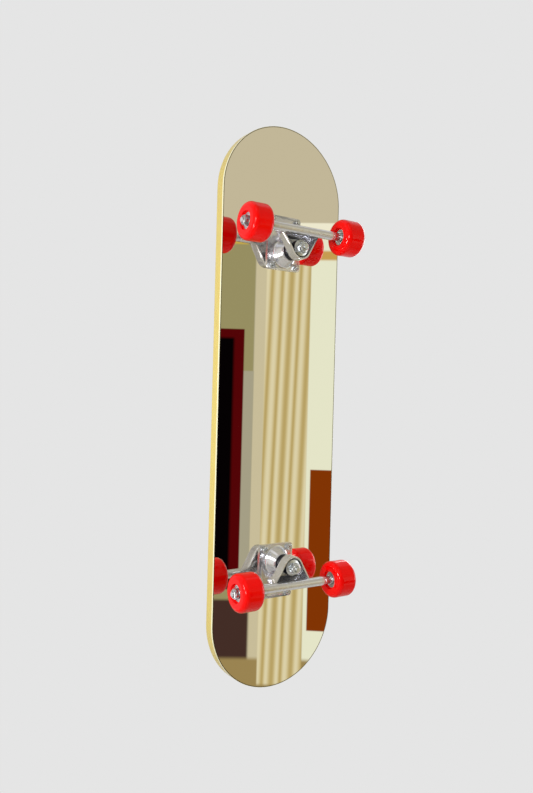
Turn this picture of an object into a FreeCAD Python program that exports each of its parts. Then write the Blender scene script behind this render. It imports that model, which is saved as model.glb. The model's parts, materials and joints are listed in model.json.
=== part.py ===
import FreeCAD, Part
import math
import os
import re

import Sketcher

# A skateboard made into a wall mirror. It hangs upright: +Z runs up along the board, the
# mirror and the two trucks face -Y, and the origin is the centre of the board's back, which
# lies against the wall. All sizes are in millimetres.

# ---------------------------------------------------------------- driving dimensions
SIZES = {
    # board
    "board_length": (787.0, "length over the two round ends"),
    "board_width": (197.4, "width, and the diameter of each end"),
    "deck_thickness": (14.0, "plywood blank"),
    "mirror_thickness": (3.0, "mirror sheet bonded to the blank"),
    "axle_spacing": (480.6, "from one axle to the other"),
    # hanging plates let into the back
    "hook_spacing": (240.0, "between the two keyholes"),
    "hook_width": (22.0, "plate across"),
    "hook_height": (46.0, "plate up and down"),
    "hook_sheet": (2.0, "plate thickness"),
    "hook_entry": (10.0, "diameter of the round hole"),
    "hook_slot": (5.0, "width of the slot above it"),
    "hook_rise": (11.0, "from the round hole's centre to the slot's end centre"),
    "hook_screws": (36.0, "between the plate's two screws"),
    "pocket_depth": (8.0, "room for the wall screw's head behind the plate"),
    "pocket_width": (13.0, "width of that room"),
    "pocket_height": (24.0, "height of that room"),
    "woodscrew_shank": (3.0, "diameter"),
    "woodscrew_head": (6.0, "diameter"),
    "woodscrew_length": (10.0, "overall"),
    # base plate, pressed from sheet
    "plate_width": (55.0, "across the board"),
    "plate_inward": (48.0, "from the axle towards the board's middle"),
    "plate_outward": (27.5, "from the axle towards the board's end"),
    "plate_sheet": (2.5, "sheet thickness"),
    "plate_corner": (4.0, "corner radius"),
    "bolt_across": (41.3, "truck bolts, across"),
    "bolt_along": (63.5, "truck bolts, along"),
    "bolt_hole": (5.4, "clearance hole"),
    "bolt_shank": (5.0, "diameter"),
    "bolt_head": (9.6, "countersunk head diameter"),
    "bolt_tip": (0.8, "thread standing out of the nut"),
    "boltnut_flats": (8.0, "across flats"),
    "boltnut_height": (4.0, "plain nut"),
    "nut_chamfer": (0.7, "at both ends of every nut"),
    # kingpin and the stack on it, along a line that leans towards the axle
    "king_inward": (25.5, "foot of the kingpin line, from the axle"),
    "king_lean": (3.0, "degrees"),
    "boss_foot": (18.0, "radius where the boss leaves the plate"),
    "boss_top": (12.8, "radius at the bushing seat"),
    "boss_height": (17.5, "seat above the mirror"),
    "king_shank": (8.0, "kingpin diameter"),
    "king_tip": (55.8, "end of the kingpin above the mirror"),
    "king_chamfer": (1.0, "at the kingpin's tip"),
    "king_gap": (0.05, "clearance round the kingpin in the plate"),
    "kinghead_flats": (14.0, "hexagon head across flats"),
    "kinghead_height": (5.5, "head"),
    "cup_sheet": (1.5, "cup washer thickness"),
    "boardcup_radius": (13.0, "washer under the board bushing"),
    "boardcup_lip": (1.3, "its lip above the sheet"),
    "roadcup_radius": (11.0, "domed washer under the nut"),
    "roadcup_dome": (2.6, "its height"),
    "bushing_radius": (12.0, "both bushings at their widest"),
    "bushing_end": (10.6, "road bushing at its washer"),
    "web_height": (30.0, "underside of the hanger's web above the mirror"),
    "roadcup_height": (43.6, "underside of the domed washer above the mirror"),
    "kingnut_flats": (14.3, "across flats"),
    "kingnut_height": (8.0, "lock nut"),
    # hanger, pressed from sheet round the road bushing, with a tube for the axle
    "axle_height": (46.4, "axle centre above the mirror"),
    "hanger_sheet": (2.0, "sheet thickness"),
    "ring_radius": (15.2, "outside of the round end"),
    "rim_height": (45.0, "edge of the hanger's wall above the mirror"),
    "foot_half": (30.5, "half width where the walls meet the tube"),
    "foot_inward": (4.5, "from the axle"),
    "foot_cut": (6.0, "how far the pan's end slants back from its rim to its web"),
    "end_step": (2.15, "the sloped end's thickness, measured along the web"),
    "web_hole": (13.0, "hole round the kingpin"),
    "tube_radius": (6.1, "axle tube"),
    "tube_half": (52.5, "half length of the tube"),
    "tube_taper": (3.0, "length of the taper at each end"),
    "pivot_inward": (-7.0, "pivot centre, from the axle"),
    "pivot_height": (11.0, "pivot centre above the mirror"),
    "pivot_radius": (4.0, "ball nose"),
    "pivotcup_wall": (1.8, "soft cup round the nose"),
    "pivotcup_mouth": (2.0, "cup and pocket beyond the nose's centre"),
    "pivotpocket_depth": (6.8, "pocket's closed end behind the nose's centre"),
    "pivotpocket_wall": (1.2, "pocket's wall"),
    "pivot_gap": (0.05, "clearance between nose and cup"),
    "gusset_width": (9.0, "pivot arm across"),
    "gusset_outward": (7.0, "from the walls' feet towards the board's end"),
    "gusset_inward": (5.5, "from the walls' feet towards the board's middle"),
    "gusset_depth": (13.0, "pivot arm below the web"),
    # axle, wheels and bearings
    "axle_radius": (4.0, "rod"),
    "axle_half": (97.6, "half length of the rod"),
    "axle_chamfer": (0.8, "at both ends of the rod"),
    "tube_lip": (0.9, "thickness of the tube's end round the rod"),
    "collar_radius": (5.2, "shoulder inside each wheel"),
    "wheel_centre": (76.3, "middle of the wheel, from the board's centre line"),
    "wheel_radius": (25.3, "tread"),
    "wheel_width": (32.0, "over the two side faces"),
    "wheel_shoulder": (7.0, "radius between tread and side"),
    "hub_radius": (12.3, "mouth of the hub"),
    "hub_depth": (3.5, "from the side face to the bearing"),
    "core_radius": (8.5, "hole between the two bearings"),
    "bearing_radius": (11.0, "outside"),
    "bearing_width": (7.0, "width"),
    "race_outer": (9.1, "inside of the outer ring"),
    "race_inner": (6.2, "outside of the inner ring"),
    "ball_circle": (7.65, "radius of the ring of balls"),
    "ball_radius": (1.9, "ball"),
    "ball_groove": (1.95, "groove in each ring"),
    "shield_inner": (6.6, "shield's hole"),
    "shield_sheet": (0.4, "shield thickness"),
    "shield_inset": (0.3, "shield behind the bearing's face"),
    "spacer_radius": (5.3, "tube between the bearings"),
    "washer_radius": (5.6, "speed washer"),
    "washer_sheet": (1.0, "speed washer thickness"),
    "axlenut_flats": (12.7, "across flats"),
    "axlenut_height": (6.5, "lock nut"),
}

BALLS = 7           # balls in one bearing
NODES = []          # every sub-part that is written

doc = FreeCAD.newDocument("board_mirror")
sheet = doc.addObject("Spreadsheet::Sheet", "Size")
for row, (alias, (value, note)) in enumerate(SIZES.items(), start=1):
    sheet.set(f"A{row}", note)
    sheet.set(f"B{row}", str(value))
    sheet.setAlias(f"B{row}", alias)
doc.recompute()


# ---------------------------------------------------------------- small helpers
def bound(text):
    """An expression on the sheet: every word with an underscore in it is one of its aliases."""
    return re.sub(r"[a-z]+_[a-z_]+", lambda word: "Size." + word.group(0), text)


def size(text):
    """The present value of such an expression."""
    return float(sheet.evalExpression(bound(text)))


def shape(kind, name, place=None, **sizes):
    """A Part primitive whose sizes follow the sheet."""
    item = doc.addObject(kind, name)
    for key, text in sizes.items():
        item.setExpression(key, bound(text))
    if place is not None:
        item.Placement = place
    return item


def cut(name, base, tool):
    item = doc.addObject("Part::Cut", name)
    item.Base = base
    item.Tool = tool
    return item


def fuse(name, pieces):
    item = doc.addObject("Part::MultiFuse", name)
    item.Shapes = pieces
    return item


def group(name, pieces):
    """Several separate solids that make one sub-part."""
    item = doc.addObject("Part::Compound", name)
    item.Links = pieces
    return item


def node(item, label, place=None):
    """Name a finished sub-part and put it in its place."""
    item.Label = label
    if place is not None:
        item.Placement = place
    NODES.append(item)
    return item


def body(name):
    return doc.addObject("PartDesign::Body", name)


def sketch(owner, name, role, offset=None):
    """An empty sketch on one of the body's own origin planes."""
    item = owner.newObject("Sketcher::SketchObject", name)
    plane = [part for part in owner.Origin.OriginFeatures if part.Role == role][0]
    item.AttachmentSupport = (plane, "")
    item.MapMode = "FlatFace"
    if offset is not None:
        item.AttachmentOffset = offset
    return item


def fix_point(item, geometry, end, across, up):
    """Hold one point of a sketch at two expressions."""
    for kind, axis, text in (("DistanceX", -2, across), ("DistanceY", -1, up)):
        if text == "0":
            item.addConstraint(Sketcher.Constraint("PointOnObject", geometry, end, axis))
            continue
        rule = Sketcher.Constraint(kind, -1, 1, geometry, end, size(text))
        number = item.addConstraint(rule)
        item.setExpression(f"Constraints[{number}]", bound(text))


def outline(item, corners):
    """A closed outline of straight lines between corners given as expressions."""
    spots = [FreeCAD.Vector(size(across), size(up), 0) for across, up in corners]
    count = len(spots)
    lines = [Part.LineSegment(spots[i], spots[(i + 1) % count]) for i in range(count)]
    first = item.addGeometry(lines, False)[0]
    for i, (across, up) in enumerate(corners):
        after = first + (i + 1) % count
        item.addConstraint(Sketcher.Constraint("Coincident", first + i, 2, after, 1))
        fix_point(item, first + i, 1, across, up)
    return item


def ring(item, across, up, radius):
    """A full circle."""
    middle = FreeCAD.Vector(size(across), size(up), 0)
    circle = Part.Circle(middle, FreeCAD.Vector(0, 0, 1), size(radius))
    number = item.addGeometry(circle, False)
    fix_point(item, number, 3, across, up)
    rule = item.addConstraint(Sketcher.Constraint("Radius", number, size(radius)))
    item.setExpression(f"Constraints[{rule}]", bound(radius))
    return item


def rounded_pair(item, high, low, radius_high, radius_low):
    """Two round ends joined by the lines that touch both: a stadium, a slot or a teardrop.
    high and low are the ends' centres on the sketch's upright axis."""
    top = size(high)
    bottom = size(low)
    big = size(radius_high)
    small = size(radius_low)
    lean = math.asin((big - small) / (top - bottom))
    centres = FreeCAD.Vector(0, top, 0), FreeCAD.Vector(0, bottom, 0)
    normal = FreeCAD.Vector(0, 0, 1)
    upper = Part.ArcOfCircle(Part.Circle(centres[0], normal, big), -lean, math.pi + lean)
    lower = Part.ArcOfCircle(Part.Circle(centres[1], normal, small), math.pi + lean,
                             2 * math.pi - lean)
    left = Part.LineSegment(upper.EndPoint, lower.StartPoint)
    right = Part.LineSegment(lower.EndPoint, upper.StartPoint)
    arc_up, line_left, arc_low, line_right = item.addGeometry([upper, left, lower, right], False)
    for one, end, other, start in ((arc_up, 2, line_left, 1), (line_left, 2, arc_low, 1),
                                   (arc_low, 2, line_right, 1), (line_right, 2, arc_up, 1)):
        item.addConstraint(Sketcher.Constraint("Tangent", one, end, other, start))
    for arc, centre, radius in ((arc_up, high, radius_high), (arc_low, low, radius_low)):
        fix_point(item, arc, 3, "0", centre)
        rule = item.addConstraint(Sketcher.Constraint("Radius", arc, size(radius)))
        item.setExpression(f"Constraints[{rule}]", bound(radius))
    return item


def pad(owner, profile, length, backwards=False):
    item = owner.newObject("PartDesign::Pad", profile.Name + "_pad")
    item.Profile = profile
    item.setExpression("Length", bound(length))
    item.Reversed = backwards
    return item


def both_sides(item):
    """Let a pad or pocket grow half to each side of its sketch."""
    item.SideType = "Symmetric"
    return item


def pocket(owner, profile, length, backwards=False):
    item = owner.newObject("PartDesign::Pocket", profile.Name + "_pocket")
    item.Profile = profile
    item.setExpression("Length", bound(length))
    item.Reversed = backwards
    return item


def turned(owner, profile, axis, kind="Revolution"):
    """Revolve a profile about its sketch's own level (H_Axis) or upright (V_Axis) axis."""
    item = owner.newObject("PartDesign::" + kind, profile.Name + "_turn")
    item.Profile = profile
    item.ReferenceAxis = (profile, [axis])
    item.Angle = 360.0
    return item


def move(x, y, z, axis=(0, 0, 1), degrees=0.0):
    turn = FreeCAD.Rotation(FreeCAD.Vector(*axis), degrees)
    return FreeCAD.Placement(FreeCAD.Vector(x, y, z), turn)


# A primitive's axis is Z. These turn it to the outward normal of the mirror, or to the axle.
TO_FRONT = move(0, 0, 0, (1, 0, 0), 90)     # +Z becomes -Y
TO_BACK = move(0, 0, 0, (1, 0, 0), -90)     # +Z becomes +Y
TO_RIGHT = move(0, 0, 0, (0, 1, 0), 90)     # +Z becomes +X
FRONT = size("deck_thickness + mirror_thickness")
HOLES_INWARD = size("(plate_inward - plate_outward) / 2")

# A truck is built in its own frame: its origin is on the mirror's face under the axle, -Y is
# outward and +Z is towards the board's middle. The upper truck is the lower one turned round.
TRUCKS = {
    "lower": move(0, -FRONT, -size("axle_spacing / 2")),
    "upper": move(0, -FRONT, size("axle_spacing / 2"), (0, 1, 0), 180),
}
# The kingpin line stands at the middle of the stack: its own +Z is outward along the pin,
# which leans to the axle, and its own +Y is towards the board's middle.
KING = move(0, 0, size("king_inward")).multiply(
    move(0, 0, 0, (1, 0, 0), 90 + size("king_lean")))


# ---------------------------------------------------------------- board
def board_outline(owner, name, offset):
    item = sketch(owner, name, "XZ_Plane", offset)
    ends = "board_length / 2 - board_width / 2"
    return rounded_pair(item, ends, f"-({ends})", "board_width / 2", "board_width / 2")


def truck_holes(item, radius):
    for end in (-1, 1):
        for across in (-1, 1):
            for along in (-1, 1):
                up = f"{end} * (axle_spacing / 2 - (plate_inward - plate_outward) / 2"
                up += f" + {along} * bolt_along / 2)"
                ring(item, f"{across} * bolt_across / 2", up, radius)
    return item


def deck():
    """Plywood blank, with bolt holes and the two pockets for the hanging plates."""
    blank = body("deck_body")
    pad(blank, board_outline(blank, "deck_outline", None), "deck_thickness")
    holes = truck_holes(sketch(blank, "deck_holes", "XZ_Plane"), "bolt_hole / 2")
    pocket(blank, holes, "deck_thickness", True)
    for place, middle in (("high", "hook_spacing / 2"), ("low", "-hook_spacing / 2")):
        for name, wide, tall, deep in (("seat", "hook_width", "hook_height", "hook_sheet"),
                                       ("room", "pocket_width", "pocket_height",
                                        "pocket_depth")):
            area = sketch(blank, f"deck_{name}_{place}", "XZ_Plane")
            outline(area, [(f"{a} * {wide} / 2", f"{middle} + {b} * {tall} / 2")
                           for a, b in ((-1, -1), (1, -1), (1, 1), (-1, 1))])
            pocket(blank, area, deep, True)
        pilots = sketch(blank, f"deck_pilots_{place}", "XZ_Plane")
        for side in (-1, 1):
            ring(pilots, "0", f"{middle} + {side} * hook_screws / 2", "woodscrew_shank / 2")
        pocket(blank, pilots, "woodscrew_length", True)
    rims = truck_holes(sketch(blank, "deck_sinks", "XZ_Plane"), "bolt_head / 2")
    sinks = pocket(blank, rims, "(bolt_head - bolt_hole) / 2", True)
    sinks.TaperAngle = -45.0
    return blank


def mirror():
    sheet_body = body("mirror_body")
    back = move(0, 0, size("deck_thickness"))
    pad(sheet_body, board_outline(sheet_body, "mirror_outline", back), "mirror_thickness")
    holes = truck_holes(sketch(sheet_body, "mirror_holes", "XZ_Plane", back), "bolt_hole / 2")
    pocket(sheet_body, holes, "mirror_thickness", True)
    return sheet_body


def hook_plate(place, middle):
    """Pressed steel keyhole plate: a round hole for the screw's head, a slot above it."""
    plate = body(f"hook_{place}")
    face = sketch(plate, f"hook_face_{place}", "XZ_Plane")
    outline(face, [(f"{a} * (hook_width / 2 - 0.1)", f"{middle} + {b} * (hook_height / 2 - 0.1)")
                   for a, b in ((-1, -1), (1, -1), (1, 1), (-1, 1))])
    pad(plate, face, "hook_sheet")
    key = sketch(plate, f"hook_key_{place}", "XZ_Plane")
    low = f"{middle} - hook_rise / 2"
    ring(key, "0", low, "hook_entry / 2")
    pocket(plate, key, "hook_sheet", True)
    slot = sketch(plate, f"hook_slot_{place}", "XZ_Plane")
    rounded_pair(slot, f"{middle} + hook_rise / 2", low, "hook_slot / 2", "hook_slot / 2")
    pocket(plate, slot, "hook_sheet", True)
    for side in (-1, 1):
        hole = sketch(plate, f"hook_hole_{place}_{side + 1}", "XZ_Plane")
        ring(hole, "0", f"{middle} + {side} * hook_screws / 2", "woodscrew_head / 2")
        sink = pocket(plate, hole, "hook_sheet", True)
        sink.TaperAngle = -35.0
    return plate


def flat_head(name, head, shank, length, cone):
    """A countersunk screw, head up at the origin, pointing down -Z."""
    top = shape("Part::Cone", name + "_head", move(0, 0, -size(cone)),
                Radius1=shank + " / 2", Radius2=head + " / 2", Height=cone)
    pin = shape("Part::Cylinder", name + "_shank", move(0, 0, -size(length)),
                Radius=shank + " / 2", Height=length + " - (" + cone + ")")
    return fuse(name, [top, pin])


node(deck(), "deck")
node(mirror(), "mirror_sheet")
node(group("hooks", [hook_plate("high", "hook_spacing / 2"),
                     hook_plate("low", "-hook_spacing / 2")]), "keyhole_plates")

screws = []
for middle in (size("hook_spacing / 2"), -size("hook_spacing / 2")):
    for side in (-1, 1):
        screw = flat_head(f"woodscrew_{len(screws)}", "woodscrew_head", "woodscrew_shank",
                          "woodscrew_length", "(woodscrew_head - woodscrew_shank) / 2")
        spot = middle + side * size("hook_screws / 2")
        screw.Placement = move(0, 0, spot).multiply(TO_BACK)
        screws.append(screw)
node(group("woodscrews", screws), "keyhole_screws")


# ---------------------------------------------------------------- truck bolts and nuts
def hexagon(name, flats, height, hole, place):
    """A nut with its two ends turned to a chamfer, standing on the origin along +Z."""
    block = shape("Part::Prism", name + "_block", Circumradius=f"{flats} / sqrt(3)",
                  Height=height)
    block.Polygon = 6
    lathe = shape("Part::Cylinder", name + "_lathe", Radius=f"{flats} / 2 * 1.1", Height=height)
    edge = doc.addObject("Part::Chamfer", name + "_edge")
    edge.Base = lathe
    turn_off = size("nut_chamfer")
    edge.Edges = [(1, turn_off, turn_off), (3, turn_off, turn_off)]
    turned_block = doc.addObject("Part::Common", name + "_turned")
    turned_block.Base = block
    turned_block.Tool = edge
    bore = shape("Part::Cylinder", name + "_bore", Radius=hole, Height=height)
    nut = cut(name, turned_block, bore)
    nut.Placement = place
    return nut


bolt_list = []
nut_list = []
stack = "deck_thickness + mirror_thickness + plate_sheet + boltnut_height + bolt_tip"
for seat in TRUCKS.values():
    for across in (-1, 1):
        for along in (-1, 1):
            x = across * size("bolt_across / 2")
            z = HOLES_INWARD + along * size("bolt_along / 2")
            bolt = flat_head(f"bolt_{len(bolt_list)}", "bolt_head", "bolt_shank", stack,
                             "(bolt_head - bolt_shank) / 2")
            bolt.Placement = seat.multiply(move(x, FRONT, z)).multiply(TO_BACK)
            bolt_list.append(bolt)
            on_plate = seat.multiply(move(x, -size("plate_sheet"), z)).multiply(TO_FRONT)
            nut_list.append(hexagon(f"boltnut_{len(nut_list)}", "boltnut_flats",
                                    "boltnut_height", "bolt_shank / 2", on_plate))
node(group("bolts", bolt_list), "truck_bolts")
node(group("boltnuts", nut_list), "truck_nuts")

# ---------------------------------------------------------------- steering axis
# It runs from the pivot's centre to the middle of the hanger's ring on the kingpin.
PIVOT = FreeCAD.Vector(0, -size("pivot_height"), size("pivot_inward"))
RING = KING.multVec(FreeCAD.Vector(0, 0, size("web_height + hanger_sheet / 2")))
STEER = (RING - PIVOT).normalize()
STEER_SLOPE = math.degrees(math.atan2(-STEER.y, STEER.z))
# A sketch on the body's YZ plane, laid on the pivot with its upright axis on that line.
ON_STEER = FreeCAD.Placement(FreeCAD.Vector(PIVOT.y, PIVOT.z, 0),
                             FreeCAD.Rotation(FreeCAD.Vector(0, 0, 1), STEER_SLOPE))
# The same for the kingpin line, its upright axis pointing outward along the pin.
ON_KING = FreeCAD.Placement(FreeCAD.Vector(0, size("king_inward"), 0),
                            FreeCAD.Rotation(FreeCAD.Vector(0, 0, 1), 90 + size("king_lean")))


# ---------------------------------------------------------------- base plate
def baseplate(truck):
    """Pressed sheet with a hollow conical boss for the kingpin and a pocket for the pivot."""
    plate = body(f"{truck}_plate")
    face = sketch(plate, f"{truck}_plate_face", "XZ_Plane")
    outline(face, [("-plate_width / 2", "-plate_outward"), ("plate_width / 2", "-plate_outward"),
                   ("plate_width / 2", "plate_inward"), ("-plate_width / 2", "plate_inward")])
    flat = pad(plate, face, "plate_sheet")
    doc.recompute()
    upright = [f"Edge{i + 1}" for i, edge in enumerate(flat.Shape.Edges)
               if edge.BoundBox.XLength + edge.BoundBox.ZLength < 0.01]
    corners = plate.newObject("PartDesign::Fillet", f"{truck}_plate_corners")
    corners.Base = (flat, upright)
    corners.setExpression("Radius", bound("plate_corner"))

    cone = sketch(plate, f"{truck}_boss", "YZ_Plane", ON_KING)
    outline(cone, [("0", "plate_sheet / 2"), ("boss_foot", "plate_sheet / 2"),
                   ("boss_foot", "plate_sheet"), ("boss_top", "boss_height"),
                   ("0", "boss_height")])
    turned(plate, cone, "V_Axis")
    block = sketch(plate, f"{truck}_pocket", "YZ_Plane", ON_STEER)
    cup = "pivot_radius + pivot_gap + pivotcup_wall"
    outline(block, [("0", "-pivotpocket_depth"), (f"{cup} + pivotpocket_wall", "-pivotpocket_depth"),
                    (f"{cup} + pivotpocket_wall", "pivotcup_mouth"), ("0", "pivotcup_mouth")])
    turned(plate, block, "V_Axis")

    hollow = sketch(plate, f"{truck}_boss_hollow", "YZ_Plane", ON_KING)
    outline(hollow, [("0", "-plate_sheet"), ("boss_foot - plate_sheet", "-plate_sheet"),
                     ("boss_foot - plate_sheet", "0"),
                     ("boss_top - plate_sheet", "boss_height - plate_sheet"),
                     ("0", "boss_height - plate_sheet")])
    turned(plate, hollow, "V_Axis", "Groove")
    hole = sketch(plate, f"{truck}_king_hole", "YZ_Plane", ON_KING)
    round_pin = "king_shank / 2 + king_gap"
    outline(hole, [("0", "plate_sheet * 2"), (round_pin, "plate_sheet * 2"),
                   (round_pin, "boss_height + 1"), ("0", "boss_height + 1")])
    turned(plate, hole, "V_Axis", "Groove")
    seat = sketch(plate, f"{truck}_cup_seat", "YZ_Plane", ON_STEER)
    outline(seat, [("0", "-(pivot_radius + pivotcup_wall)"),
                   (cup, "-(pivot_radius + pivotcup_wall)"), (cup, "pivotcup_mouth * 2"),
                   ("0", "pivotcup_mouth * 2")])
    turned(plate, seat, "V_Axis", "Groove")

    bolts = sketch(plate, f"{truck}_plate_holes", "XZ_Plane")
    for across in (-1, 1):
        for along in (-1, 1):
            middle = f"(plate_inward - plate_outward) / 2 + {along} * bolt_along / 2"
            ring(bolts, f"{across} * bolt_across / 2", middle, "bolt_hole / 2")
    pocket(plate, bolts, "plate_sheet", True)
    trim = sketch(plate, f"{truck}_plate_back", "YZ_Plane")
    outline(trim, [("0", "-plate_outward - 1"), ("boss_height * 2", "-plate_outward - 1"),
                   ("boss_height * 2", "plate_inward + 1"), ("0", "plate_inward + 1")])
    both_sides(pocket(plate, trim, "plate_width + 20"))
    return plate


def pivot_cup(truck):
    """Soft cup that holds the hanger's ball nose."""
    cup = body(f"{truck}_cup")
    wall = sketch(cup, f"{truck}_cup_wall", "YZ_Plane", ON_STEER)
    outside = "pivot_radius + pivot_gap + pivotcup_wall"
    outline(wall, [("0", "-(pivot_radius + pivotcup_wall)"),
                   (outside, "-(pivot_radius + pivotcup_wall)"), (outside, "pivotcup_mouth"),
                   ("0", "pivotcup_mouth")])
    turned(cup, wall, "V_Axis")
    bore = sketch(cup, f"{truck}_cup_bore", "YZ_Plane", ON_STEER)
    inside = "pivot_radius + pivot_gap"
    outline(bore, [("0", "0"), (inside, "0"), (inside, "pivotcup_mouth * 2"),
                   ("0", "pivotcup_mouth * 2")])
    turned(cup, bore, "V_Axis", "Groove")
    ball = shape("Part::Sphere", f"{truck}_cup_ball",
                 move(PIVOT.x, PIVOT.y, PIVOT.z), Radius=inside)
    return cut(f"{truck}_pivot_cup", cup, ball)


# ---------------------------------------------------------------- the stack on the kingpin
def stack_tube(name, low, high, foot, head, hole):
    """A round piece on the kingpin line, from one height to another, with a hole."""
    wall = shape("Part::Cone", name + "_wall", move(0, 0, size(low)), Radius1=foot,
                 Radius2=head, Height=f"{high} - ({low})")
    bore = shape("Part::Cylinder", name + "_bore", move(0, 0, size(low)), Radius=hole,
                 Height=f"{high} - ({low})")
    return cut(name, wall, bore)


def kingpin(truck):
    base = "boss_height - plate_sheet"
    head = shape("Part::Prism", f"{truck}_pin_head",
                 move(0, 0, size(base + " - kinghead_height")),
                 Circumradius="kinghead_flats / sqrt(3)", Height="kinghead_height")
    head.Polygon = 6
    shank = shape("Part::Cylinder", f"{truck}_pin_shank",
                  move(0, 0, size(base + " - kinghead_height")),
                  Radius="king_shank / 2", Height=f"king_tip - ({base}) + kinghead_height")
    tip = doc.addObject("Part::Chamfer", f"{truck}_pin_tip")
    tip.Base = shank
    tip.Edges = [(3, size("king_chamfer"), size("king_chamfer"))]
    return fuse(f"{truck}_pin", [head, tip])


def board_washer(truck):
    """Shallow cup under the board-side bushing."""
    disc = stack_tube(f"{truck}_boardcup", "boss_height", "boss_height + cup_sheet + boardcup_lip",
                      "boardcup_radius", "boardcup_radius + 0.3", "king_shank / 2 + 0.1")
    room = shape("Part::Cylinder", f"{truck}_boardcup_room",
                 move(0, 0, size("boss_height + cup_sheet")), Radius="bushing_radius + 0.1",
                 Height="boardcup_lip + 1")
    return cut(f"{truck}_boardcup_dish", disc, room)


def road_washer(truck):
    """Domed washer under the kingpin nut, its rim turned down on the bushing."""
    base = size("roadcup_height")
    rise = size("roadcup_dome")
    edge = size("roadcup_radius")
    curve = (edge * edge + rise * rise) / (2 * rise)
    ball = shape("Part::Sphere", f"{truck}_dome_ball", move(0, 0, base + rise - curve),
                 Radius="(roadcup_radius ^ 2 + roadcup_dome ^ 2) / (2 * roadcup_dome)")
    slab = shape("Part::Cylinder", f"{truck}_dome_slab", move(0, 0, base),
                 Radius="roadcup_radius", Height="roadcup_dome + 1")
    dome = doc.addObject("Part::Common", f"{truck}_dome")
    dome.Base = ball
    dome.Tool = slab
    flat = shape("Part::Cylinder", f"{truck}_dome_flat",
                 move(0, 0, base + size("roadcup_dome - 0.5")),
                 Radius="kingnut_flats", Height="2")
    level = cut(f"{truck}_dome_level", dome, flat)
    bore = shape("Part::Cylinder", f"{truck}_dome_bore", move(0, 0, base),
                 Radius="king_shank / 2 + 0.1", Height="roadcup_dome + 1")
    return cut(f"{truck}_roadcup", level, bore)


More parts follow.
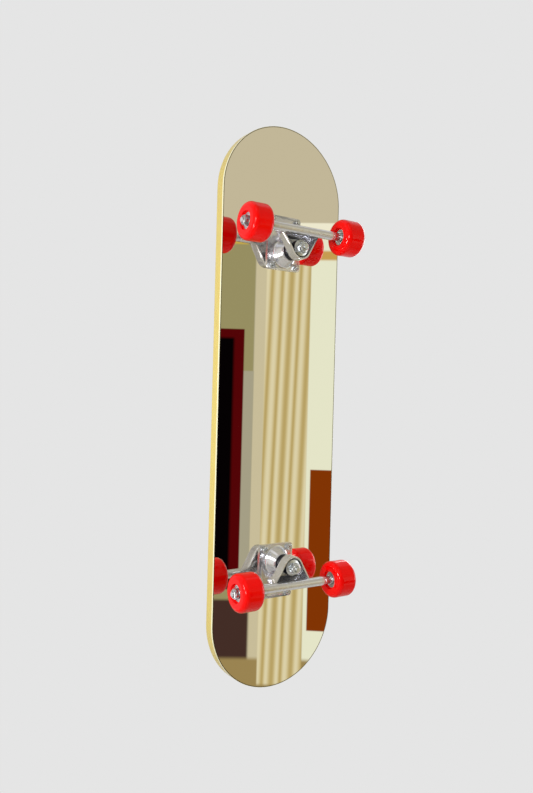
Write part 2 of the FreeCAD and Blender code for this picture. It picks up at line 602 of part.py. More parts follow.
# ---------------------------------------------------------------- hanger
def hanger(truck):
    """Pressed pan round the road bushing, its walls running out to the axle tube and its
    web turned up to it, with the pivot arm welded underneath. The bore takes the axle."""
    arm = body(f"{truck}_arm")
    # the pan's plan, in the plane of its web: its upright axis points away from the axle
    foot = "foot_inward - king_inward"
    lean = FreeCAD.Rotation(FreeCAD.Vector(1, 0, 0), size("king_lean"))
    web = FreeCAD.Placement(FreeCAD.Vector(0, size("king_inward"), 0), lean)
    web = web.multiply(FreeCAD.Placement(FreeCAD.Vector(0, 0, size("web_height")),
                                         FreeCAD.Rotation()))
    floor = web.multiply(move(0, 0, size("hanger_sheet")))

    def plan(owner, name, offset, inset):
        """Round at the ring, then straight walls to the two feet on the tube."""
        item = sketch(owner, f"{truck}_{name}", "XZ_Plane", offset)
        radius = size(f"ring_radius - {inset}")
        far = size(foot)
        half = size(f"foot_half - {inset}")
        reach = math.hypot(half, far)
        touch = math.atan2(far, half) + math.acos(radius / reach)
        normal = FreeCAD.Vector(0, 0, 1)
        circle = Part.Circle(FreeCAD.Vector(0, 0, 0), normal, radius)
        arc = Part.ArcOfCircle(circle, touch, math.pi - touch)
        right = Part.LineSegment(FreeCAD.Vector(half, far, 0), arc.StartPoint)
        left = Part.LineSegment(arc.EndPoint, FreeCAD.Vector(-half, far, 0))
        sill = Part.LineSegment(left.EndPoint, right.StartPoint)
        side, bow, other, base = item.addGeometry([right, arc, left, sill], False)
        for one, end, two, start in ((side, 2, bow, 1), (bow, 2, other, 1)):
            item.addConstraint(Sketcher.Constraint("Tangent", one, end, two, start))
        for one, end, two, start in ((other, 2, base, 1), (base, 2, side, 1)):
            item.addConstraint(Sketcher.Constraint("Coincident", one, end, two, start))
        item.addConstraint(Sketcher.Constraint("Coincident", bow, 3, -1, 1))
        rule = item.addConstraint(Sketcher.Constraint("Radius", bow, radius))
        item.setExpression(f"Constraints[{rule}]", bound(f"ring_radius - {inset}"))
        fix_point(item, side, 1, f"foot_half - {inset}", foot)
        fix_point(item, base, 1, f"-(foot_half - {inset})", foot)
        return item

    def slanted(owner):
        """Cut a piece's end back along a slope, from the walls' feet down to the web."""
        slant = sketch(owner, f"{owner.Name}_slant", "YZ_Plane", ON_KING)
        outline(slant, [(f"{foot} - foot_cut", "rim_height"), (foot, "rim_height"),
                        (f"{foot} + foot_cut", "web_height"),
                        (f"{foot} + foot_cut", "web_height - 1"),
                        (f"{foot} - foot_cut", "web_height - 1")])
        both_sides(pocket(owner, slant, "foot_half * 3"))

    pad(arm, plan(arm, "pan", web, "0"), "rim_height - web_height")
    pocket(arm, plan(arm, "inside", floor, "hanger_sheet"), "rim_height - web_height", True)
    slanted(arm)
    # the web turns up along that slope and meets the tube
    end = body(f"{truck}_end")
    pad(end, plan(end, "end_plan", web, "0"), "rim_height - 1 - web_height")
    slanted(end)
    room = sketch(end, f"{truck}_end_room", "YZ_Plane", ON_KING)
    outline(room, [(f"{foot} + end_step", "rim_height"),
                   (f"{foot} + foot_cut + end_step", "web_height"),
                   (f"{foot} + foot_cut + end_step", "web_height - 1"),
                   ("ring_radius + 1", "web_height - 1"), ("ring_radius + 1", "rim_height")])
    both_sides(pocket(end, room, "foot_half * 3"))
    # pivot arm under the web and the tube
    gusset = sketch(arm, f"{truck}_gusset", "YZ_Plane", ON_KING)
    near = f"{foot} - gusset_outward"
    far = f"{foot} + gusset_inward"
    outline(gusset, [(near, "web_height + 11"), (f"{foot} - 3", "web_height + 12.7"),
                     (f"{foot} + 0.5", "web_height + 13"), (far, "web_height + 3"),
                     (far, "web_height - gusset_depth + 9"),
                     (f"{far} - 3", "web_height - gusset_depth + 1.5"),
                     (f"{near} + 4", "web_height - gusset_depth"),
                     (near, "web_height - gusset_depth + 2.5")])
    both_sides(pad(arm, gusset, "gusset_width"))

    tube = sketch(arm, f"{truck}_tube", "XY_Plane")
    outline(tube, [("-tube_half", "-axle_height + axle_radius"),
                   ("-tube_half", "-axle_height + axle_radius + tube_lip"),
                   ("-tube_half + tube_taper", "-axle_height + tube_radius"),
                   ("tube_half - tube_taper", "-axle_height + tube_radius"),
                   ("tube_half", "-axle_height + axle_radius + tube_lip"),
                   ("tube_half", "-axle_height + axle_radius")])
    line = sketch(arm, f"{truck}_axle_line", "XY_Plane")
    fix = line.addGeometry(Part.LineSegment(FreeCAD.Vector(-10, -size("axle_height"), 0),
                                            FreeCAD.Vector(10, -size("axle_height"), 0)), False)
    fix_point(line, fix, 1, "-foot_half", "-axle_height")
    fix_point(line, fix, 2, "foot_half", "-axle_height")
    barrel = arm.newObject("PartDesign::Revolution", f"{truck}_tube_turn")
    barrel.Profile = tube
    barrel.ReferenceAxis = (line, ["Edge1"])
    barrel.Angle = 360.0

    nose = sketch(arm, f"{truck}_nose", "YZ_Plane", ON_STEER)
    outline(nose, [("0", "0"), ("pivot_radius", "0"), ("pivot_radius", "4"),
                   ("pivot_radius + 1.2", "12"), ("0", "12")])
    turned(arm, nose, "V_Axis")
    bore = sketch(arm, f"{truck}_bore", "XY_Plane")
    wall = "-axle_height + axle_radius"
    outline(bore, [("-tube_half - 1", "-axle_height"), ("-tube_half - 1", wall),
                   ("tube_half + 1", wall), ("tube_half + 1", "-axle_height")])
    drill = arm.newObject("PartDesign::Groove", f"{truck}_bore_turn")
    drill.Profile = bore
    drill.ReferenceAxis = (line, ["Edge1"])
    drill.Angle = 360.0
    hole = sketch(arm, f"{truck}_web_hole", "XZ_Plane", web.multiply(move(0, 0, -1)))
    ring(hole, "0", "0", "web_hole / 2")
    pocket(arm, hole, "hanger_sheet + 2", True)
    ball = shape("Part::Sphere", f"{truck}_nose_ball", move(PIVOT.x, PIVOT.y, PIVOT.z),
                 Radius="pivot_radius")
    return fuse(f"{truck}_hanger_all", [arm, end, ball])


def axle(truck):
    rod = shape("Part::Cylinder", f"{truck}_rod", move(0, 0, -size("axle_half")),
                Radius="axle_radius", Height="axle_half * 2")
    tips = doc.addObject("Part::Chamfer", f"{truck}_rod_tips")
    tips.Base = rod
    turn_off = size("axle_chamfer")
    tips.Edges = [(1, turn_off, turn_off), (3, turn_off, turn_off)]
    collars = []
    inner = "wheel_centre - wheel_width / 2 + hub_depth - washer_sheet"
    for side, start in (("left", -size(inner)), ("right", size("tube_half"))):
        collars.append(shape("Part::Cylinder", f"{truck}_collar_{side}", move(0, 0, start),
                             Radius="collar_radius", Height=f"{inner} - tube_half"))
    return fuse(f"{truck}_axle_all", [tips] + collars)


# ---------------------------------------------------------------- wheels and bearings
def wheel(name):
    """Cast urethane with a seat for a bearing in each side."""
    tyre = body(name + "_tyre")
    half = sketch(tyre, name + "_profile", "XY_Plane")
    side = "wheel_width / 2"
    face = "wheel_width / 2 - hub_depth"
    seat = "wheel_width / 2 - hub_depth - bearing_width"
    right = [(seat, "core_radius"), (seat, "bearing_radius"), (face, "bearing_radius"),
             (face, "hub_radius"), (side, "hub_radius"), (side, "wheel_radius")]
    left = [(f"-({across})", up) for across, up in reversed(right)]
    outline(half, right + left)
    spun = turned(tyre, half, "H_Axis")
    doc.recompute()
    rims = [f"Edge{i + 1}" for i, edge in enumerate(spun.Shape.Edges)
            if edge.BoundBox.XLength < 0.01 and edge.BoundBox.YLength > size("wheel_radius * 1.99")]
    shoulders = tyre.newObject("PartDesign::Fillet", name + "_shoulders")
    shoulders.Base = (spun, rims)
    shoulders.setExpression("Radius", bound("wheel_shoulder"))
    return tyre


def bearing_ring(name, outside, inside, offset):
    """One race of a bearing, along +Z about the offset, with its ball groove."""
    low = size(offset + " - bearing_width / 2")
    blank = shape("Part::Cylinder", name + "_blank", move(0, 0, low), Radius=outside,
                  Height="bearing_width")
    bore = shape("Part::Cylinder", name + "_bore", move(0, 0, low), Radius=inside,
                 Height="bearing_width")
    groove = shape("Part::Torus", name + "_groove", move(0, 0, size(offset)),
                   Radius1="ball_circle", Radius2="ball_groove")
    return cut(name, cut(name + "_tube", blank, bore), groove)


def wheel_set(truck, side, sign):
    """One wheel with its two bearings, spacer, washers and nut, in the truck's frame."""
    name = f"{truck}_{side}"
    centre = sign * size("wheel_centre")
    place = TRUCKS[truck].multiply(move(centre, -size("axle_height"), 0))
    along = place.multiply(TO_RIGHT)
    seat = "(wheel_width / 2 - hub_depth - bearing_width / 2)"
    node(wheel(name), f"wheel_{name}", place)
    outer = []
    inner = []
    balls = []
    shields = []
    washers = []
    for end, offset in ((0, "-" + seat), (1, seat)):
        outer.append(bearing_ring(f"{name}_outer_{end}", "bearing_radius", "race_outer", offset))
        inner.append(bearing_ring(f"{name}_inner_{end}", "race_inner", "axle_radius", offset))
        for i in range(BALLS):
            angle = 2 * math.pi * i / BALLS
            reach = size("ball_circle")
            spot = move(reach * math.cos(angle), reach * math.sin(angle), size(offset))
            balls.append(shape("Part::Sphere", f"{name}_ball_{end}_{i}", spot,
                               Radius="ball_radius"))
        for face in (-1, 1):
            edge = size(f"{offset} + {face} * (bearing_width / 2 - shield_inset)")
            edge -= size("shield_sheet") if face > 0 else 0.0
            label = f"{name}_shield_{end}_{face + 1}"
            disc = shape("Part::Cylinder", label + "_disc", move(0, 0, edge),
                         Radius="race_outer", Height="shield_sheet")
            hole = shape("Part::Cylinder", label + "_hole", move(0, 0, edge),
                         Radius="shield_inner", Height="shield_sheet")
            shields.append(cut(label, disc, hole))
        start = size("wheel_width / 2 - hub_depth")
        start = start if end else -start - size("washer_sheet")
        label = f"{name}_washer_{end}"
        disc = shape("Part::Cylinder", label + "_disc", move(0, 0, start),
                     Radius="washer_radius", Height="washer_sheet")
        hole = shape("Part::Cylinder", label + "_hole", move(0, 0, start),
                     Radius="axle_radius", Height="washer_sheet")
        washers.append(cut(label, disc, hole))
    node(group(f"{name}_outers", outer), f"bearing_outers_{name}", along)
    node(group(f"{name}_inners", inner), f"bearing_inners_{name}", along)
    node(group(f"{name}_balls", balls), f"bearing_balls_{name}", along)
    node(group(f"{name}_shields", shields), f"bearing_shields_{name}", along)
    node(group(f"{name}_washers", washers), f"speed_washers_{name}", along)
    core = "wheel_width / 2 - hub_depth - bearing_width"
    tube = shape("Part::Cylinder", f"{name}_spacer_tube", move(0, 0, -size(core)),
                 Radius="spacer_radius", Height=f"2 * ({core})")
    hole = shape("Part::Cylinder", f"{name}_spacer_hole", move(0, 0, -size(core)),
                 Radius="axle_radius", Height=f"2 * ({core})")
    node(cut(f"{name}_spacer", tube, hole), f"bearing_spacer_{name}", along)
    reach = sign * size("wheel_width / 2 - hub_depth + washer_sheet")
    outward = move(0, 0, 0, (0, 1, 0), 90 * sign)
    spot = place.multiply(move(reach, 0, 0)).multiply(outward)
    node(hexagon(f"{name}_nut", "axlenut_flats", "axlenut_height", "axle_radius", spot),
         f"axle_nut_{name}")


for truck, seat in TRUCKS.items():
    on_pin = seat.multiply(KING)
    node(baseplate(truck), f"baseplate_{truck}", seat)
    node(pivot_cup(truck), f"pivot_cup_{truck}", seat)
    node(kingpin(truck), f"kingpin_{truck}", on_pin)
    node(board_washer(truck), f"board_washer_{truck}", on_pin)
    node(stack_tube(f"{truck}_board_bush", "boss_height + cup_sheet", "web_height",
                    "bushing_radius - 0.4", "bushing_radius", "king_shank / 2 + 0.1"),
         f"board_bushing_{truck}", on_pin)
    node(stack_tube(f"{truck}_road_bush", "web_height + hanger_sheet", "roadcup_height",
                    "bushing_radius", "bushing_end", "king_shank / 2 + 0.1"),
         f"road_bushing_{truck}", on_pin)
    node(road_washer(truck), f"road_washer_{truck}", on_pin)
    nut_seat = size("roadcup_height + roadcup_dome - 0.5")
    node(hexagon(f"{truck}_kingnut", "kingnut_flats", "kingnut_height", "king_shank / 2",
                 on_pin.multiply(move(0, 0, nut_seat))), f"kingpin_nut_{truck}")
    node(hanger(truck), f"hanger_{truck}", seat)
    node(axle(truck), f"axle_{truck}", seat.multiply(move(0, -size("axle_height"), 0))
         .multiply(TO_RIGHT))
    wheel_set(truck, "left", -1 if truck == "lower" else 1)
    wheel_set(truck, "right", 1 if truck == "lower" else -1)

# ---------------------------------------------------------------- check and write
doc.recompute()
faults = [item.Name for item in doc.Objects
          if "Invalid" in item.State or "Error" in item.State]
for item in NODES:
    if item.Shape.isNull() or not item.Shape.isValid() or not item.Shape.Solids:
        faults.append(item.Label)
if faults:
    raise SystemExit("failed: " + ", ".join(faults))

os.makedirs("parts", exist_ok=True)
for item in NODES:
    item.Shape.exportStep(f"parts/{item.Label}.step")
print(len(NODES), "nodes")
for truck, seat in TRUCKS.items():
    pivot = seat.multVec(PIVOT)
    line = seat.Rotation.multVec(STEER)
    print(truck, "steering through", [round(v, 4) for v in pivot], "along",
          [round(v, 5) for v in line])
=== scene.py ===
import json
import math

import bpy
from mathutils import Matrix, Vector


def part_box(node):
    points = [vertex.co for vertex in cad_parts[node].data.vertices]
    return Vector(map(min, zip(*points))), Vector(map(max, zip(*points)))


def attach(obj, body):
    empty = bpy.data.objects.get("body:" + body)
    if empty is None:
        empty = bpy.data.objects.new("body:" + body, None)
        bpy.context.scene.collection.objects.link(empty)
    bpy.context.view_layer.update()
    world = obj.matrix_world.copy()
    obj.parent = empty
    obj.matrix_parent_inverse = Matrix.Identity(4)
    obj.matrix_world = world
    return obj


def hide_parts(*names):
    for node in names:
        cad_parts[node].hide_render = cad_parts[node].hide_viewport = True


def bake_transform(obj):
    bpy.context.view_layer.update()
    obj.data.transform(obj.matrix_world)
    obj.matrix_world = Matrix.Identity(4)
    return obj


# A skateboard made into a wall mirror: a round-ended plywood blank faced with mirror acrylic,
# hung upright, with two pressed-steel trucks and four red urethane wheels standing out of it.
# Every piece is modelled in millimetres and settled into the frame's metres when it is done.
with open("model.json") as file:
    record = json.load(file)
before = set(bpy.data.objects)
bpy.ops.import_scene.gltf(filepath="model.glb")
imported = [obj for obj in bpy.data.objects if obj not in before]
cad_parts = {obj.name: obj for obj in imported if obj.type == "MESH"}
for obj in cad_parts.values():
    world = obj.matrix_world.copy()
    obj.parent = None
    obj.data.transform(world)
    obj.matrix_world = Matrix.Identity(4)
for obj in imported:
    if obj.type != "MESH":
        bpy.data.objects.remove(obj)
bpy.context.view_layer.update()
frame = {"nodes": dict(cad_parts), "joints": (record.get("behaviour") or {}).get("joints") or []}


# ---------------------------------------------------------------- camera
# Stands at arm's length to the left of the board, level with its middle and turned back
# towards it, and leans a little.
LENS = 32.70
CAMERA_AT = (-0.5739, -0.8544, 0.0143)
CAMERA_YAW = math.radians(33.42)
CAMERA_ROLL = math.radians(1.49)

bpy.ops.object.camera_add()
camera = bpy.context.object
camera.name = "camera"
camera.data.lens = LENS
camera.data.clip_start = 0.01
camera.matrix_world = (Matrix.Translation(CAMERA_AT) @ Matrix.Rotation(-CAMERA_YAW, 4, "Z")
                       @ Matrix.Rotation(math.radians(90), 4, "X")
                       @ Matrix.Rotation(CAMERA_ROLL, 4, "Z"))
bpy.context.scene.camera = camera
bpy.context.scene.view_settings.view_transform = "Standard"


# ---------------------------------------------------------------- studio
# Plain pale surroundings. What is behind the camera is a soft warm room of broad patches,
# so that the mirror and the plating have something to show.
def linear(code):
    """An sRGB hex colour as the linear colour a shader takes."""
    parts = [int(code[i:i + 2], 16) / 255 for i in (1, 3, 5)]
    return tuple(c / 12.92 if c <= 0.04045 else ((c + 0.055) / 1.055) ** 2.4
                 for c in parts) + (1.0,)


def add(tree, kind, links=None, **settings):
    """One node, with its settings, and its inputs either linked or set."""
    made = tree.nodes.new(kind)
    for key, value in settings.items():
        setattr(made, key, value)
    for key, value in (links or {}).items():
        if isinstance(value, bpy.types.NodeSocket):
            tree.links.new(value, made.inputs[key])
        else:
            made.inputs[key].default_value = value
    return made


def maths(tree, operation, *values):
    """The outcome of one sum on numbers or sockets."""
    return add(tree, "ShaderNodeMath", dict(enumerate(values)), operation=operation).outputs[0]


def ranged(tree, value, low, high, source=(0.0, 1.0), **settings):
    """A number carried from its source range to the range low to high, and held in it."""
    return add(tree, "ShaderNodeMapRange",
               {"Value": value, "From Min": source[0], "From Max": source[1],
                "To Min": low, "To Max": high}, **settings).outputs["Result"]


def mixed(tree, factor, first, second, kind="MIX"):
    """Two colours, each a hex code or a socket, mixed by a factor."""
    first, second = [linear(c) if isinstance(c, str) else c for c in (first, second)]
    return add(tree, "ShaderNodeMix", {"Factor": factor, "A": first, "B": second},
               data_type="RGBA", blend_type=kind).outputs["Result"]


BACKDROP = "#E5E5E5"
ROOM_WALL = "#B9B3A0"
# colour, azimuth from and to (0 faces the mirror square on, + to its right), elevation
# from and to, width of the soft edge; all angles in degrees. Later patches lie over earlier.
ROOM = (
    ("#EDEBE4", -100, -58, -30, 40, 14.0),      # pale side of the room to the left
    ("#7E7874", -24, 10, -30, 30, 12.0),        # unlit end of the room
    ("#9C9569", 8, 32.35, -24, 14.5, 0.25),     # shaded wall
    ("#C9BFA3", 20.0, 44.0, 12.4, 26, 0.4),     # ceiling
    ("#CFC5A4", 32.35, 36.7, -24, 12.4, 0.15),  # return of the wall
    ("#ABA68F", 31.4, 32.35, -15, 2.0, 0.15),   # paler strip at the shaded wall's corner
    ("#560508", 28.6, 31.55, -15.0, 5.3, 0.12),     # dark red upright
    ("#050203", 24.0, 30.75, -15.0, 4.6, 0.3),      # unlit space beside it
    ("#EDEFD6", 36.7, 50, -24, 12.6, 0.15),     # lit wall
    ("#F6F3DC", 35.4, 41, 12.6, 13.6, 0.15),    # moulding between wall and ceiling
    ("#CDA457", 36.9, 41, 10.8, 11.5, 0.25),    # rail under it
    ("#D2B24A", 30.0, 31.7, 11.9, 12.35, 0.2),  # short length of the same rail
    ("#863705", 37.05, 41, -17.9, -5.7, 0.12),  # brown upright
    ("#46302A", 24.0, 32.4, -20.3, -15.8, 0.3),     # dark floor covering
    ("#A08A58", 24.0, 41, -40, -20.0, 0.4),     # floor
    ("#9A8D78", -88, 88, -90, -42, 10.0),       # floor near the board
    ("#E9E9E6", 58, 84, -20, 30, 8.0),          # window to the right
    ("#FFFFFF", -60, -16, 46, 74, 6.0),         # lamp on the ceiling
    ("#E5E5E5", 91, 200, -90, 90, 4.0),         # the pale wall the board hangs on, its right
    ("#E5E5E5", -200, -91, -90, 90, 4.0),       # and its left
)
# folded cloth: its side limits, a fold's width in radians, how far the folds lean and vary, and
# the colours of a fold's hollow, side and crest, the hollow darker as painted shade and the
# crest paler as painted light
FOLDS = (33.2, 36.72, -21.8, 10.8)
FOLD_WIDE = 0.0135
FOLD_LEAN = 0.028
FOLD_VARY = 7.0
FOLD_COLOURS = ("#BEA86C", "#D3C392", "#E3D9B4")

world = bpy.data.worlds.new("room")
bpy.context.scene.world = world
world.use_nodes = True
sky = world.node_tree
sky.nodes.clear()
where = add(sky, "ShaderNodeTexCoord").outputs["Generated"]
apart = add(sky, "ShaderNodeSeparateXYZ", {0: where})
azimuth = maths(sky, "ARCTAN2", apart.outputs["X"],
                maths(sky, "MULTIPLY", apart.outputs["Y"], -1.0))
elevation = maths(sky, "ARCSINE", apart.outputs["Z"])


def inside(angle, low, high, soft):
    """1 where an angle lies between two limits, fading over the soft edge."""
    middle = math.radians((low + high) / 2)
    half = math.radians((high - low) / 2)
    edge = math.radians(soft) / 2
    far = maths(sky, "ABSOLUTE", maths(sky, "SUBTRACT", angle, middle))
    return ranged(sky, far, 1.0, 0.0, (half - edge, half + edge),
                  interpolation_type="SMOOTHSTEP")


room = linear(ROOM_WALL)
for colour, left, right, low, high, soft in ROOM:
    patch = maths(sky, "MULTIPLY", inside(azimuth, left, right, soft),
                  inside(elevation, low, high, soft))
    room = mixed(sky, patch, room, colour)
# the folds hang a little crooked and differ in width
sideways = maths(sky, "SUBTRACT", azimuth, maths(sky, "MULTIPLY", elevation, FOLD_LEAN))
uneven = add(sky, "ShaderNodeTexNoise", {"W": maths(sky, "MULTIPLY", sideways, 34.0),
                                         "Scale": 1.0, "Detail": 1.0},
             noise_dimensions="1D")
phase = maths(sky, "MULTIPLY_ADD", uneven.outputs["Fac"], FOLD_VARY,
              maths(sky, "MULTIPLY", sideways, 2 * math.pi / FOLD_WIDE))
depth = ranged(sky, maths(sky, "SINE", phase), 0.0, 1.0, (-1.0, 1.0))
shade = add(sky, "ShaderNodeValToRGB", {"Fac": depth})
shade.color_ramp.elements[0].color = linear(FOLD_COLOURS[0])
shade.color_ramp.elements[1].color = linear(FOLD_COLOURS[2])
shade.color_ramp.elements.new(0.45).color = linear(FOLD_COLOURS[1])
cloth = maths(sky, "MULTIPLY", inside(azimuth, FOLDS[0], FOLDS[1], 0.15),
              inside(elevation, FOLDS[2], FOLDS[3], 0.3))
room = mixed(sky, cloth, room, shade.outputs["Color"])
around = add(sky, "ShaderNodeBackground", {"Color": room, "Strength": 1.0})
plain = add(sky, "ShaderNodeBackground", {"Color": linear(BACKDROP), "Strength": 1.0})
path = add(sky, "ShaderNodeLightPath")
shown = add(sky, "ShaderNodeMixShader", {0: path.outputs["Is Camera Ray"],
                                         1: around.outputs[0], 2: plain.outputs[0]})
add(sky, "ShaderNodeOutputWorld", {"Surface": shown.outputs[0]})

# soft white lamps: place in metres, size in metres, watts
LAMPS = (
    ("front", (-2.0, -1.7, 0.3), 0.7, 24),
    ("side", (-0.62, -0.2, 0.02), 0.14, 1.7),
    ("right", (2.0, -0.6, -0.1), 0.9, 9),
    ("behind", (2.2, 1.2, 0.6), 1.4, 26),
)
for name, at, wide, watts in LAMPS:
    bpy.ops.object.light_add(type="AREA", location=at)
    lamp = bpy.context.object
    lamp.name = "lamp_" + name
    lamp.data.size = wide
    lamp.data.energy = watts
    lamp.rotation_euler = (-Vector(at)).to_track_quat("-Z", "Y").to_euler()
    lamp.visible_camera = False

FLOOR_UP = -1.7
FLOOR_RADIUS = 1.9
bpy.ops.mesh.primitive_circle_add(vertices=96, radius=FLOOR_RADIUS, fill_type="NGON",
                                  location=(0, 0, FLOOR_UP))
floor = bpy.context.object
floor.name = "floor"
pale = bpy.data.materials.new("pale floor")
pale.use_nodes = True
pale.node_tree.nodes.clear()
add(pale.node_tree, "ShaderNodeOutputMaterial", {
    "Surface": add(pale.node_tree, "ShaderNodeBsdfDiffuse",
                   {"Color": linear("#C8C6C0")}).outputs[0]})
floor.data.materials.append(pale)


# ---------------------------------------------------------------- deck
# Blank of thin birch plies pressed flat and cut with two round ends, lacquered clear. The
# truck bolts pass through it, and two keyhole plates are let into its back.
deck_low, deck_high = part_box("deck")
BOARD_WIDE = (deck_high.x - deck_low.x) * 1000
BOARD_LONG = (deck_high.z - deck_low.z) * 1000
DECK_THICK = 14.0
DECK_ROUND = 0.9
PLY_THICK = 1.55
TRUCK_UP = (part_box("axle_upper")[0].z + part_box("axle_upper")[1].z) / 2 * 1000
PLATE_MIDDLE = 10.25
BOLT_ACROSS = 41.3
BOLT_ALONG = 63.5
BOLT_HOLE = 2.7
BOLT_SINK = 5.9
HOOK_UP = 120.0
HOOK_SCREW = 18.0


def start(piece=None):
    """Object mode with only this piece selected, or nothing."""
    if bpy.context.object is not None and bpy.context.object.mode != "OBJECT":
        bpy.ops.object.mode_set(mode="OBJECT")
    bpy.ops.object.select_all(action="DESELECT")
    if piece is not None:
        piece.select_set(True)
        bpy.context.view_layer.objects.active = piece


def modify(piece, kind, **settings):
    """Put a modifier on and apply it."""
    start(piece)
    made = piece.modifiers.new(kind.lower(), kind)
    for key, value in settings.items():
        setattr(made, key, value)
    bpy.ops.object.modifier_apply(modifier=made.name)


def soften(piece, width=0, segments=3, angle=30):
    """Round every sharp edge a little, then shade smooth with the flat faces kept flat."""
    if width:
        modify(piece, "BEVEL", width=width, segments=segments, limit_method="ANGLE",
               angle_limit=math.radians(angle))
    start(piece)
    bpy.ops.object.shade_smooth_by_angle(angle=math.radians(40))
    modify(piece, "WEIGHTED_NORMAL", mode="FACE_AREA", weight=90, keep_sharp=True)


def combine(piece, other, operation):
    """Cut, join or intersect with another piece, which is used up."""
    modify(piece, "BOOLEAN", object=other, operation=operation, solver="MANIFOLD")
    bpy.data.objects.remove(other)


def settle(piece, name, material, place=Matrix.Identity(4)):
    """Name a finished piece, put it in its place in metres, and give it its material."""
    start(piece)
    piece.name = name
    piece.matrix_world = Matrix.Scale(0.001, 4) @ place @ piece.matrix_world
    bpy.ops.object.transform_apply(location=True, rotation=True, scale=True)
    if material is not None:
        piece.data.materials.clear()
        piece.data.materials.append(material)
    return piece


def point(name, at):
    """A new piece of one vertex, in edit mode, ready to be extruded along an outline."""
    start()
    bpy.ops.mesh.primitive_plane_add(size=1.0)
    piece = bpy.context.object
    piece.name = name
    bpy.ops.object.mode_set(mode="EDIT")
    bpy.ops.mesh.select_mode(type="VERT")
    bpy.ops.mesh.select_all(action="SELECT")
    bpy.ops.mesh.merge(type="CENTER")
    bpy.ops.transform.translate(value=at)
    return piece


def run(step):
    """Extrude the selected end of an outline by a step."""
    bpy.ops.mesh.extrude_region_move(TRANSFORM_OT_translate={"value": step})


def arc_about(centre, axis, degrees, steps):
    """Carry the selected end of an outline round an arc; spin turns the left-handed way."""
    bpy.ops.mesh.spin(steps=steps, angle=-math.radians(degrees), center=centre, axis=axis)


def merge(threshold):
    """Merge the vertices that lie together anywhere in the mesh, and leave all selected."""
    bpy.ops.mesh.select_all(action="SELECT")
    bpy.ops.mesh.remove_doubles(threshold=threshold)
    bpy.ops.mesh.select_all(action="SELECT")


def shut(piece):
    """Turn every face of a closed mesh outwards and leave edit mode."""
    bpy.ops.mesh.select_all(action="SELECT")
    bpy.ops.mesh.normals_make_consistent(inside=False)
    start(piece)


def round_ended(name, across, length, thickness, front):
    """A slab with two half-round ends, its front face at -Y."""
    side = (length - across) / 2
    piece = point(name, (across / 2, front, -side))
    run((0, 0, 2 * side))
    arc_about((0, 0, side), (0, -1, 0), 180, 96)
    run((0, 0, -2 * side))
    arc_about((0, 0, -side), (0, -1, 0), 180, 96)
    merge(0.01)
    bpy.ops.mesh.edge_face_add()
    run((0, thickness, 0))
    shut(piece)
    return piece


def rod(radius, length, at, axis="Y", sides=32):
    """A plain round cutter."""
    start()
    turn = {"X": (0, math.pi / 2, 0), "Y": (math.pi / 2, 0, 0), "Z": (0, 0, 0)}[axis]
    bpy.ops.mesh.primitive_cylinder_add(vertices=sides, radius=radius, depth=length,
                                        location=at, rotation=turn)
    bpy.ops.object.transform_apply(location=True, rotation=True, scale=True)
    return bpy.context.object


def block(sides, at):
    """A plain square cutter or blank."""
    start()
    bpy.ops.mesh.primitive_cube_add(size=1.0, location=at, scale=sides)
    bpy.ops.object.transform_apply(location=True, rotation=True, scale=True)
    return bpy.context.object


def bolt_places():
    """Centres of the eight truck bolts on the board, as (x, z)."""
    return [(across * BOLT_ACROSS / 2,
             end * (TRUCK_UP - PLATE_MIDDLE + along * BOLT_ALONG / 2))
            for end in (1, -1) for across in (-1, 1) for along in (-1, 1)]


def shader(name, **values):
    """A new material and its principled shader, with the plain values set on its sockets."""
    made = bpy.data.materials.new(name)
    made.use_nodes = True
    tree = made.node_tree
    tree.nodes.clear()
    skin = add(tree, "ShaderNodeBsdfPrincipled")
    add(tree, "ShaderNodeOutputMaterial", {"Surface": skin.outputs[0]})
    for key, value in values.items():
        skin.inputs[key.replace("_", " ")].default_value = value
    return made, tree, skin


def object_place(tree, scale):
    """Object coordinates stretched by a scale along each axis."""
    here = add(tree, "ShaderNodeTexCoord").outputs["Object"]
    return add(tree, "ShaderNodeMapping", {"Vector": here, "Scale": scale}).outputs[0]


def patches(tree, scale, detail):
    """Soft random patches, about as many to the metre along each axis as the scale says."""
    return add(tree, "ShaderNodeTexNoise", {"Vector": object_place(tree, scale), "Scale": 1.0,
                                            "Detail": detail})


def feed(tree, skin, **sockets):
    """Link patterns to the shader's sockets, each named with its spaces as underscores."""
    for key, value in sockets.items():
        tree.links.new(value, skin.inputs[key.replace("_", " ")])


def relief(tree, skin, height, strength, distance):
    """Let a pattern stand a little out of the surface; the distance is in metres."""
    bump = add(tree, "ShaderNodeBump", {"Height": height, "Strength": strength,
                                        "Distance": distance})
    feed(tree, skin, Normal=bump.outputs[0])


